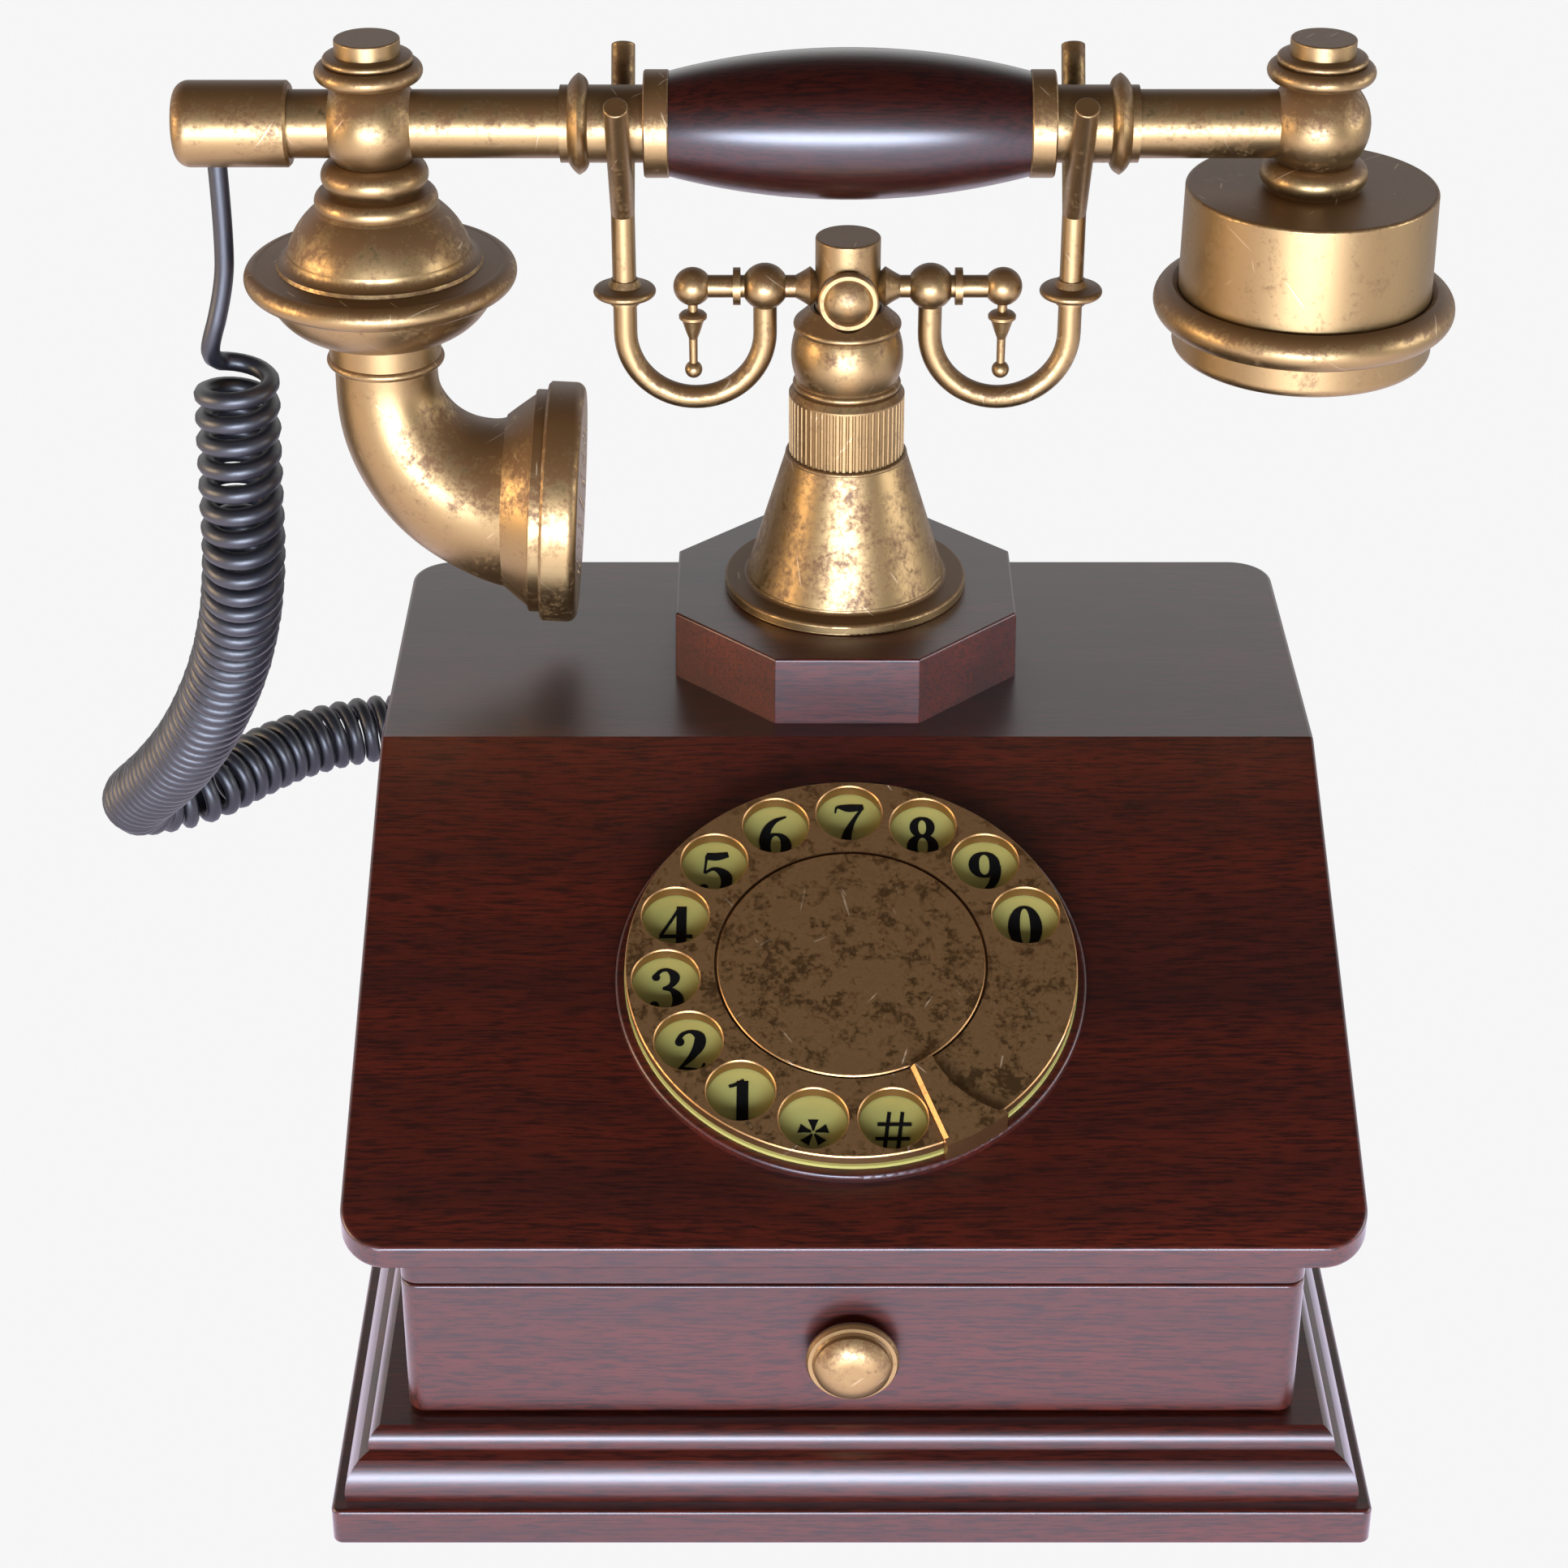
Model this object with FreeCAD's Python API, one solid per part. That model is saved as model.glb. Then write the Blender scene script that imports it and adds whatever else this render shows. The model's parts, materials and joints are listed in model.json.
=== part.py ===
"""Cradle telephone on a wooden drawer case: one STEP file per sub-part, in millimetres.

The origin is the middle of the underside, +Z is up and -Y is the dial side.
"""
import FreeCAD, Part
import math
import os
from FreeCAD import Placement, Rotation, Vector

# ---- clearances ----
slide_gap = 0.4          # between a sliding piece and its guide
turn_gap = 0.3           # between a turning face and the face beside it
rest_gap = 0.3           # between the handset and the cradle's prongs

# ---- wooden case ----
slab_width = 198.6
slab_depth = 200.0
slab_height = 8.2
slab_corner = 2.0
felt_thickness = 1.0
felt_inset = 6.0
moulding_height = 13.5
moulding_wall = 20.0
body_inset_x = 14.45     # from the slab's edge to the case wall, at each side
body_inset_front = 12.3
body_inset_rear = 14.7
wall = 8.0
floor_thickness = 4.0
shelf_thickness = 4.0
lid_side_inset = 4.3        # from the slab's edge to the lid's edge, at each side
lid_end_inset = 5.0         # the same at the front and the rear
lid_thickness = 5.3
lid_corner = 8.8
lid_edge_round = 0.9
lid_top_z = 113.3
lip_top_z = 67.0
ridge_from_rear = 80.6
case_corner = 3.5

# ---- drawer ----
drawer_front_height = 30.3
drawer_side_gap = 1.0
drawer_floor_gap = 0.7
drawer_length = 128.0
drawer_wall = 5.0
drawer_bottom_thickness = 3.0
drawer_box_drop = 4.3       # from the top of the front to the top of the box
knob_flange_radius = 8.8
knob_dome_radius = 7.3
knob_stem_radius = 4.0
knob_stem_length = 4.4
knob_screw_radius = 1.9

# ---- column ----
column_from_rear = 44.4          # from the slab's rear edge to the column's axis
octagon_across = 70.9
octagon_draft = 0.25
octagon_height = 14.65
base_flange_radius = 25.35
base_flange_height = 2.45
cone_foot_radius = 20.6
cone_top_radius = 12.6
cone_height = 28.2
metal_wall = 2.0
knurl_radius = 11.9
knurl_height = 14.4
knurl_count = 56
ball_body_height = 17.2
ball_body_radius = 11.45
shoulder_radius = 10.9
hub_radius = 6.6
hub_sink = 8.0                   # how far the hub goes into the column's top
tube_radius = 5.2
tube_bore = 3.6
plunger_radius = 3.0

# ---- cradle ----
cradle_travel = 4.0
rod_height = 66.65               # cross rod above the octagon's top
rod_radius = 2.3
hub_above_rod = 10.7
boss_radius = 6.05
boss_reach = 9.4
inner_ball_x = 16.75
inner_ball_radius = 4.75
end_ball_x = 31.4
end_ball_radius = 3.9
washer_radius = 3.8
washer_width = 1.5
hook_span = 28.4                 # between the hook rod's two legs
hook_drop = 10.0                 # from the cross rod to the start of the bend
hook_radius = 2.4
post_height = 25.8               # from the start of the bend to the fork
post_collar_radius = 6.35
post_collar_height = 9.0         # above the start of the bend
fork_half_angle = 34.0
prong_length = 34.3
pendant_drop = 18.1

# ---- handset ----
grip_half_length = 35.5
grip_end_radius = 10.3
grip_mid_radius = 14.8
ferrule_radius = 10.55
ferrule_width = 5.0
sleeve_radius = 7.6
sleeve_width = 10.9
ogee_radius = 9.95
ogee_width = 4.0
collar_width = 1.6
tube_outer = 6.72
tube_wall = 1.5
joint_radius = 10.5
finial_seat = 9.05              # above the handset's axis
neck_gap = 0.68                  # from the tube down to where the neck rings start
neck_level = 9.45                # below the axis, the level that the bell and cup hang from
mouth_x = 94.3                   # joint ball on the mouthpiece side, towards -X
ear_x = 92.4                     # joint ball on the earpiece side, towards +X
cap_radius = 8.5
cap_length = 22.9
cap_end = 133.2
finial_radius = 10.7
button_radius = 6.5
neck_ring_radius = 10.75
horn_start_radius = 10.5
horn_end_radius = 18.5
horn_bend = 27.5
horn_turn = 87.0
horn_drop = 3.7
horn_flare = 5.4
mouth_flange_radius = 23.2
mouth_cap_radius = 25.0
mouth_cap_depth = 7.6
ear_body_radius = 25.2
ear_body_height = 23.9
ear_ring_radius = 30.4
ear_ring_section = 3.7
ear_cap_radius = 26.2
ear_cap_height = 6.8

# ---- dial ----
bezel_radius = 45.5
bezel_height = 2.0
plate_radius = 43.7
plate_thickness = 0.9
wheel_radius = 43.5
wheel_thickness = 2.6
finger_hole_radius = 6.5
finger_circle = 35.75
finger_pitch = 24.0
finger_first = 72.0              # clockwise from the top of the dial
finger_count = 12
centre_radius = 26.1
centre_gap = 0.5                 # ring-shaped gap around the centre disc
hole_bevel = 0.22
stop_thickness = 1.3
stop_bevel = 0.75
shaft_radius = 3.0
mount_plate_radius = 38.0
mount_plate_thickness = 1.5
gear_module = 1.0
gear_teeth = 48
pinion_teeth = 12
gear_thickness = 2.0

# ---- cord ----
wire_diameter = 3.9
coil_diameter = 17.8

# ---- derived places ----
floor_z = slab_height + moulding_height
column_y = slab_depth / 2 - column_from_rear
lid_width = slab_width - 2 * lid_side_inset
lid_depth = slab_depth - 2 * lid_end_inset
lid_front_y = -lid_depth / 2
lid_rear_y = lid_depth / 2
ridge_y = lid_rear_y - ridge_from_rear
slope = math.atan2(lid_top_z - lip_top_z, ridge_y - lid_front_y)
dial_along = (ridge_y - lid_front_y) / math.cos(slope) / 2
dial_y = ridge_y - dial_along * math.cos(slope)
dial_z = lid_top_z - dial_along * math.sin(slope)
octagon_top = lid_top_z + octagon_height
rod_z = octagon_top + rod_height
body_half_x = slab_width / 2 - body_inset_x
body_front = -slab_depth / 2 + body_inset_front
body_rear = slab_depth / 2 - body_inset_rear
drawer_low = floor_z + drawer_floor_gap
drawer_box_height = drawer_front_height - drawer_box_drop
rail_low = drawer_low + drawer_front_height + 0.6
shelf_low = rail_low
hook_leg_z = rod_z - hook_drop
fork_z = hook_leg_z + post_height
post_x = inner_ball_x + hook_span
neck_seat = tube_outer + neck_gap
prong_gap = sleeve_radius + hook_radius + rest_gap
handset_z = fork_z + prong_gap / math.sin(math.radians(fork_half_angle))
wheel_low = bezel_height + plate_thickness + turn_gap
wheel_top = wheel_low + wheel_thickness
lid_perp = lid_thickness * math.cos(slope)
gear_centres = gear_module * (gear_teeth + pinion_teeth) / 2 + 0.2

os.makedirs("parts", exist_ok=True)


# ---- helpers ----
def save(name, shape):
    """Write one node, and say how many solids and how much volume it has."""
    for solid in shape.Solids:
        if not solid.isValid():
            print("INVALID", name)
    shape.exportStep("parts/" + name + ".step")
    print("%-20s %d solid(s) %.0f mm3" % (name, len(shape.Solids), shape.Volume))


def outline(points):
    """Closed wire in the XZ plane from (x, z) corners and (mid x, mid z, x, z) arcs."""
    edges = []
    start = Vector(points[0][0], 0, points[0][1])
    first = start
    for item in points[1:]:
        end = Vector(item[-2], 0, item[-1])
        if len(item) == 4:
            edges.append(Part.Arc(start, Vector(item[0], 0, item[1]), end).toShape())
        else:
            edges.append(Part.LineSegment(start, end).toShape())
        start = end
    if start.distanceToPoint(first) > 1e-6:
        edges.append(Part.LineSegment(start, first).toShape())
    return Part.Wire(edges)


def turned(points, place=None):
    """Solid of revolution about Z from (radius, height) points, then placed."""
    face = Part.Face(outline(points))
    solid = face.revolve(Vector(0, 0, 0), Vector(0, 0, 1), 360)
    return moved(solid, place)


def moved(shape, place):
    """A copy of the shape at a placement, or at an offset given as a vector."""
    if place is None:
        return shape
    if isinstance(place, Vector):
        place = Placement(place, Rotation())
    return shape.transformed(place.toMatrix(), True)


def rod(start, end, radius):
    """Round bar from one point to another."""
    axis = end - start
    return Part.makeCylinder(radius, axis.Length, start, axis)


def block(x0, x1, y0, y1, z0, z1):
    """Rectangular block from its limits."""
    return Part.makeBox(x1 - x0, y1 - y0, z1 - z0, Vector(x0, y0, z0))


def round_box(half_x, y0, y1, z0, z1, corner):
    """Block centred on X with its four upright edges rounded."""
    box = block(-half_x, half_x, y0, y1, z0, z1)
    upright = [e for e in box.Edges if abs(e.BoundBox.ZLength - (z1 - z0)) < 1e-6]
    return box.makeFillet(corner, upright)


def prism(points, half_x):
    """Extrusion along X, both ways from the middle, of a (y, z) outline."""
    corners = [Vector(-half_x, y, z) for y, z in points]
    face = Part.Face(Part.makePolygon(corners + corners[:1]))
    return face.extrude(Vector(2 * half_x, 0, 0))


def along_x(x, y, z, sign=1):
    """Placement that turns +Z into +X (or -X) at a point."""
    return Placement(Vector(x, y, z), Rotation(Vector(0, 1, 0), 90 * sign))


def mirror_x(shape):
    """Mirror image in the plane x = 0."""
    return shape.mirror(Vector(0, 0, 0), Vector(1, 0, 0))


def dome_arc(start, rise):
    """Arc from a (radius, height) point up to the axis, with its centre on the axis."""
    ball = (start[0] ** 2 + rise ** 2) / (2 * rise)
    half = math.asin(start[0] / ball) / 2
    top = start[1] + rise
    return ball * math.sin(half), top - ball + ball * math.cos(half), 0, top


# ---- wooden case ----
def wood_screws():
    """Countersunk screws up through the slab into the moulding, one at each corner."""
    screws = []
    for x in (-1, 1):
        for y in (-1, 1):
            centre = Vector(x * (slab_width / 2 - 12), y * (slab_depth / 2 - 12), felt_thickness)
            screws.append(turned([(0, 0.2), (3.2, 0.2), (1.6, 1.8), (1.6, 14.0), (0, 15.6)], centre))
    return screws


def make_plinth():
    screws = wood_screws()
    save("base_screws", Part.makeCompound(screws))
    slab = round_box(slab_width / 2, -slab_depth / 2, slab_depth / 2, 0, slab_height, slab_corner)
    rims = [e for e in slab.Edges if e.BoundBox.ZLength < 1e-6]
    slab = slab.makeFillet(0.8, rims)
    recess = block(-slab_width / 2 + felt_inset, slab_width / 2 - felt_inset,
                   -slab_depth / 2 + felt_inset, slab_depth / 2 - felt_inset, -1, felt_thickness)
    save("base_slab", slab.cut([recess] + screws))
    felt = round_box(slab_width / 2 - felt_inset - 0.1, -slab_depth / 2 + felt_inset + 0.1,
                     slab_depth / 2 - felt_inset - 0.1, 0, felt_thickness, slab_corner)
    save("base_felt", felt)
    low = slab_height
    # The section from the slab up: bulge, hollow, bead and ledge, as insets from the slab's edge.
    section = [(2.8, low), (3.3, low + 5.2, 5.3, low + 8.1), (6.3, low + 8.6, 7.3, low + 9.0),
               (7.4, low + 11.6, 9.3, low + moulding_height)]

    def bar(half, reach):
        right = [(half - i[0], i[1]) if len(i) == 2 else (half - i[0], i[1], half - i[2], i[3])
                 for i in section]
        top = right[-1]
        wire = outline(right + [(0, top[-1]), (0, low)])
        solid = Part.Face(wire).extrude(Vector(0, 2 * reach, 0))
        solid.translate(Vector(0, -reach, 0))
        return solid.fuse(mirror_x(solid)).removeSplitter()

    across = bar(slab_width / 2, slab_depth / 2)
    along = bar(slab_depth / 2, slab_width / 2)
    along.rotate(Vector(0, 0, 0), Vector(0, 0, 1), 90)
    frame = across.common(along)
    hole = block(-slab_width / 2 + moulding_wall, slab_width / 2 - moulding_wall,
                 -slab_depth / 2 + moulding_wall, slab_depth / 2 - moulding_wall, 0, 100)
    save("base_moulding", frame.cut([hole] + screws))
    panel = block(-slab_width / 2 + moulding_wall, slab_width / 2 - moulding_wall,
                  -slab_depth / 2 + moulding_wall, slab_depth / 2 - moulding_wall,
                  floor_z - floor_thickness, floor_z)
    save("case_floor", panel)


def lid_points(drop):
    """The lid's upper outline in (y, z), lowered by drop and carried past the lid's ends."""
    rise = math.tan(slope)
    return [(-200, lip_top_z - drop - (200 + lid_front_y) * rise), (ridge_y, lid_top_z - drop),
            (200, lid_top_z - drop)]


def under_lid(shape):
    """The part of a shape that lies below the lid."""
    return shape.common(prism(lid_points(lid_thickness) + [(200, -50), (-200, -50)], 150))


def on_dial(shape):
    """Place a shape drawn about Z on the dial's axis, with z = 0 on the lid's slope."""
    return moved(shape, Placement(Vector(0, dial_y, dial_z),
                                  Rotation(Vector(1, 0, 0), math.degrees(slope))))


def make_case():
    inner = body_half_x - wall
    behind_front = body_front + wall
    side = under_lid(block(inner, body_half_x, behind_front, body_rear, floor_z, 150))
    back_edge = [e for e in side.Edges
                 if e.BoundBox.ZLength > 80 and e.BoundBox.XMin > body_half_x - 0.01
                 and e.BoundBox.YMin > body_rear - 0.01]
    side = side.makeFillet(case_corner, back_edge)
    save("case_sides", Part.makeCompound([side, mirror_x(side)]))
    rear = under_lid(block(-inner, inner, body_rear - wall, body_rear, floor_z, 150))
    gland = rod(Vector(gland_x, body_rear - wall - 1, gland_z),
                Vector(gland_x, body_rear + 1, gland_z), gland_stem_radius)
    jack = block(jack_x - jack_half - 0.1, jack_x + jack_half + 0.1, body_rear - wall - 1,
                 body_rear + 1, gland_z - jack_half - 0.1, gland_z + jack_half + 0.1)
    save("case_rear", rear.cut(gland).cut(jack))
    rail = round_box(body_half_x, body_front, body_front + 40, rail_low, 150, case_corner)
    rail = rail.common(block(-200, 200, body_front, behind_front, 0, 200))
    save("neck_rail", under_lid(rail))
    shelf = block(-inner, inner, behind_front, body_rear - wall, shelf_low,
                  shelf_low + shelf_thickness)
    save("drawer_shelf", shelf)


def make_lid():
    solid = prism(lid_points(0) + list(reversed(lid_points(lid_thickness))), 150)
    plan = round_box(lid_width / 2, lid_front_y, lid_rear_y, 0, 200, lid_corner)
    lid = solid.common(plan)
    inside = lid_depth / 2 - 0.01
    rims = [e for e in lid.Edges
            if e.BoundBox.ZLength < lid_top_z and not (
                abs(e.BoundBox.XLength) < 1e-4 and abs(e.BoundBox.YLength) < 1e-4)
            and not (e.BoundBox.XLength > lid_width - 20 and abs(e.BoundBox.YMin) < inside)]
    lid = lid.makeFillet(lid_edge_round, rims)
    lid = lid.cut(on_dial(Part.makeCylinder(dial_hole_radius, 60, Vector(0, 0, -30))))
    lid = lid.cut(rod(Vector(0, column_y, 90), Vector(0, column_y, 150), tube_radius + 0.1))
    save("lid_panel", lid)


# ---- drawer ----
def make_drawer():
    front = round_box(body_half_x, body_front, body_front + 40, drawer_low,
                      drawer_low + drawer_front_height, case_corner)
    front = front.common(block(-200, 200, body_front, body_front + wall - slide_gap, 0, 200))
    rims = [e for e in front.Edges if e.BoundBox.ZLength < 1e-6 and e.BoundBox.YMin < body_front + 3.6
            and e.BoundBox.YMax < body_front + 5]
    front = front.makeFillet(0.6, rims)
    screw_z = drawer_low + drawer_front_height / 2
    hole = rod(Vector(0, body_front - 1, screw_z), Vector(0, body_front + wall + 1, screw_z),
               knob_screw_radius + 0.1)
    save("drawer_front", front.cut(hole))
    half = body_half_x - wall - drawer_side_gap
    y0 = body_front + wall - slide_gap
    y1 = y0 + drawer_length
    low = drawer_low
    shell = block(-half, half, y0, y1, low, low + drawer_box_height)
    hollow = block(-half + drawer_wall, half - drawer_wall, y0 + drawer_wall, y1 - drawer_wall,
                   low + drawer_bottom_thickness, low + drawer_box_height + 1)
    counterbore = rod(Vector(0, y0 - 1, screw_z), Vector(0, y0 + drawer_wall + 1, screw_z),
                      knob_screw_radius + 0.1)
    save("drawer_box", shell.cut(hollow).cut(counterbore))
    length = knob_stem_length
    profile = [(0, 0), (5.6, 0), (5.6, 0.8), (knob_stem_radius, 1.2), (knob_stem_radius, length - 2.6),
               (knob_flange_radius - 0.7, length - 2.0),
               (knob_flange_radius, length - 1.5, knob_flange_radius, length - 0.7),
               (knob_flange_radius - 0.4, length), (knob_dome_radius + 0.35, length),
               (knob_dome_radius, length + 0.5), (knob_dome_radius - 0.1, length + 1.4),
               (4.6, length + 3.2, 2.0, length + 3.7), (0, length + 3.7)]
    knob = turned(profile, Placement(Vector(0, body_front, screw_z), Rotation(Vector(1, 0, 0), 90)))
    stud = rod(Vector(0, body_front - 2, screw_z), Vector(0, y0 + drawer_wall, screw_z), knob_screw_radius)
    save("drawer_knob", knob.fuse(stud))


# ---- column ----
def make_column():
    half = octagon_across / 2
    corner = half / math.cos(math.pi / 8)

    def ring(radius, z):
        points = [Vector(radius * math.cos(math.radians(22.5 + 45 * k)),
                         column_y + radius * math.sin(math.radians(22.5 + 45 * k)), z)
                  for k in range(9)]
        return Part.makePolygon(points)

    block8 = Part.makeLoft([ring(corner + octagon_draft, lid_top_z), ring(corner, octagon_top)], True)
    rims = [e for e in block8.Edges if e.BoundBox.ZMin > lid_top_z + 0.1 or e.BoundBox.ZLength > 5]
    block8 = block8.makeFillet(0.5, rims)
    bore = rod(Vector(0, column_y, 90), Vector(0, column_y, 200), tube_radius + 0.1)
    save("octagon_block", block8.cut(bore))

    axis = Vector(0, column_y, octagon_top)
    foot = base_flange_height
    top = foot + cone_height
    inner = metal_wall
    cone = turned([(tube_radius + 0.1, 0), (base_flange_radius - 0.5, 0),
                   (base_flange_radius - 0.1, 0.1, base_flange_radius, 0.5),
                   (base_flange_radius, foot - 0.6),
                   (base_flange_radius - 0.2, foot - 0.2, base_flange_radius - 0.6, foot),
                   (cone_foot_radius + 1.0, foot),
                   (cone_foot_radius + 0.2, foot + 0.3, cone_foot_radius, foot + 1.0),
                   (cone_top_radius, top - 0.8),
                   (cone_top_radius - 0.1, top - 0.2, cone_top_radius - 0.7, top),
                   (tube_radius + 0.1, top), (tube_radius + 0.1, top - inner),
                   (cone_top_radius - inner, top - inner), (cone_foot_radius - inner, foot),
                   (cone_foot_radius - inner, inner), (tube_radius + 0.1, inner)], axis)
    save("column_cone", cone)
    collar_top = top + knurl_height
    collar = turned([(tube_radius + 0.1, top), (knurl_radius, top), (knurl_radius, collar_top - 1.4),
                     (knurl_radius - 0.8, collar_top - 0.2), (10.6, collar_top),
                     (tube_radius + 0.1, collar_top)], axis)
    flute = 0.38
    for k in range(knurl_count):
        angle = 2 * math.pi * k / knurl_count
        cutter = Part.makeCylinder(flute, knurl_height - 1.8,
                                   axis + Vector(knurl_radius * math.cos(angle),
                                                 knurl_radius * math.sin(angle), top))
        collar = collar.cut(cutter)
    save("knurled_collar", collar)

    low = collar_top
    high = low + ball_body_height
    seat = high - hub_sink - cradle_travel
    body = turned([(tube_radius + 0.1, low), (10.6, low), (11.1, low + 0.7, 10.6, low + 1.5),
                   (10.4, low + 1.8), (ball_body_radius, low + 6.6, 10.5, low + 12.2),
                   (10.3, low + 12.6), (shoulder_radius - 0.2, low + 13.0),
                   (shoulder_radius + 0.1, low + 13.7, shoulder_radius - 0.2, low + 14.3),
                   (hub_radius + 0.9, high), (hub_radius + turn_gap, high),
                   (hub_radius + turn_gap, seat - 3), (tube_radius + 0.1, seat - 3)], axis)
    saddle = rod(Vector(0, column_y, rod_z), Vector(0, column_y - 20, rod_z), boss_radius + turn_gap)
    save("column_ball", body.cut(saddle))
    tube_low = lid_top_z - lid_thickness - 4
    tube = Part.makeCylinder(tube_radius, octagon_top + seat - 3 - tube_low, Vector(0, column_y, tube_low))
    save("column_tube", tube.cut(rod(Vector(0, column_y, tube_low - 1),
                                     Vector(0, column_y, 250), tube_bore)))
    return octagon_top + seat


# ---- cradle ----
def make_cradle(hub_low):
    centre = Vector(0, column_y, rod_z)
    hub = Part.makeCylinder(hub_radius, rod_z + hub_above_rod - hub_low - cradle_travel / 2,
                            Vector(0, column_y, hub_low + cradle_travel / 2))
    rims = [e for e in hub.Edges if e.BoundBox.ZMin > rod_z and e.BoundBox.ZLength < 1e-6]
    hub = hub.makeFillet(0.4, rims)
    front = boss_reach
    dome_start = (boss_radius - 1.4, front - 0.5)
    boss = turned([(0, 0), (boss_radius - 0.5, 0), (boss_radius - 0.5, front - 2.2),
                   (boss_radius, front - 1.7), (boss_radius, front - 0.3),
                   (boss_radius - 0.3, front), (boss_radius - 1.1, front),
                   dome_start, dome_arc(dome_start, 1.8)],
                  Placement(centre, Rotation(Vector(1, 0, 0), 90)))
    save("cradle_hub", hub.fuse(boss).removeSplitter())

    edge = math.sqrt(hub_radius ** 2 - 2.6 ** 2)
    bar = turned([(0, edge - 1.0), (2.6, edge - 1.0), (2.6, edge), (4.05, 7.6), (3.0, 9.3, rod_radius, 10.6),
                  (rod_radius, inner_ball_x), (rod_radius, end_ball_x), (0, end_ball_x)])
    washer_at = inner_ball_x + inner_ball_radius + 0.2
    washer = turned([(0, washer_at), (washer_radius, washer_at),
                     (washer_radius, washer_at + washer_width), (0, washer_at + washer_width)])
    arm = bar.fuse([Part.makeSphere(inner_ball_radius, Vector(0, 0, inner_ball_x)),
                    Part.makeSphere(end_ball_radius, Vector(0, 0, end_ball_x)), washer])
    arm = moved(arm.removeSplitter(), along_x(0, column_y, rod_z))
    cheek = Part.makeCylinder(hub_radius, 40, Vector(0, column_y, rod_z - 20))
    arm = arm.cut(cheek)

    low = hook_leg_z
    bend = hook_span / 2
    inner = Vector(inner_ball_x, column_y, low)
    outer = Vector(post_x, column_y, low)
    bottom = Vector(inner_ball_x + bend, column_y, low - bend)
    path = Part.Wire([Part.LineSegment(Vector(inner_ball_x, column_y, rod_z - 3.4), inner).toShape(),
                      Part.Arc(inner, bottom, outer).toShape(),
                      Part.LineSegment(outer, Vector(post_x, column_y, fork_z)).toShape()])
    section = Part.Wire(Part.makeCircle(hook_radius, Vector(inner_ball_x, column_y, rod_z - 3.4),
                                        Vector(0, 0, 1)))
    hook = path.makePipeShell([section], True, False)
    hook = hook.cut(Part.makeSphere(inner_ball_radius, Vector(inner_ball_x, column_y, rod_z)))
    knuckle = Part.makeSphere(hook_radius, Vector(post_x, column_y, fork_z))
    tilt = math.radians(fork_half_angle)
    prongs = [rod(Vector(post_x, column_y, fork_z),
                  Vector(post_x, column_y + s * prong_length * math.sin(tilt),
                         fork_z + prong_length * math.cos(tilt)), hook_radius) for s in (-1, 1)]
    fork = knuckle.fuse(prongs).removeSplitter()
    rims = [e for e in fork.Edges if e.BoundBox.ZMin > fork_z + 20 and e.Closed]
    fork = fork.makeFillet(0.35, rims)
    hook = hook.fuse(fork).removeSplitter()

    disc_z = low + post_collar_height
    disc = turned([(hook_radius, -2.6), (3.0, -2.6), (3.0, -1.7), (3.4, -1.2), (5.4, -0.9),
                   (post_collar_radius, 0.0, 5.4, 0.9), (3.4, 1.3), (2.75, 2.6), (hook_radius, 2.6)],
                  Vector(post_x, column_y, disc_z))

    stem = rod_z - end_ball_radius
    pendant = turned([(0, 0.3), (1.0, 0.3), (1.0, -1.4), (2.4, -1.8), (2.85, -2.3), (2.85, -2.9),
                      (2.3, -3.3), (1.5, -5.8), (0.9, -7.4), (0.85, -13.8), (0, -13.8)],
                     Vector(end_ball_x, column_y, stem))
    drop = Part.makeSphere(1.8, Vector(end_ball_x, column_y, rod_z - pendant_drop))
    pendant = pendant.fuse(drop).removeSplitter()
    pendant = pendant.cut(Part.makeSphere(end_ball_radius, Vector(end_ball_x, column_y, rod_z)))
    save("cross_arms", Part.makeCompound([arm, mirror_x(arm)]))
    save("hook_rods", Part.makeCompound([hook, mirror_x(hook)]))
    save("post_collars", Part.makeCompound([disc, mirror_x(disc)]))
    save("pendants", Part.makeCompound([pendant, mirror_x(pendant)]))

    plunger_low = lever_z + 1.4
    plunger = Part.makeCylinder(plunger_radius, hub_low + cradle_travel / 2 - plunger_low,
                                Vector(0, column_y, plunger_low))
    save("plunger_rod", plunger)


def make_plunger_spring(seat_z, hub_low):
    """Coil spring between the column tube's top and the hub's underside."""
    low = seat_z - 3 + 0.1
    height = hub_low + cradle_travel / 2 - low - 0.1
    wire = 0.4
    turns = 3
    helix = Part.makeHelix(height / turns * 0.7, height * 0.7, 4.7)
    start = Vector(4.7, 0, 0)
    section = Part.Wire(Part.makeCircle(wire, start, Vector(0, 1, 0.1)))
    spring = Part.Wire(helix).makePipeShell([section], True, True)
    save("plunger_spring", moved(spring, Vector(0, column_y, low + wire + 0.1)))


# ---- handset ----
def on_axis(shape, sign):
    """Place a shape turned about Z along the handset's axis, towards +X or -X."""
    return moved(shape, along_x(0, column_y, handset_z, sign))


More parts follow.
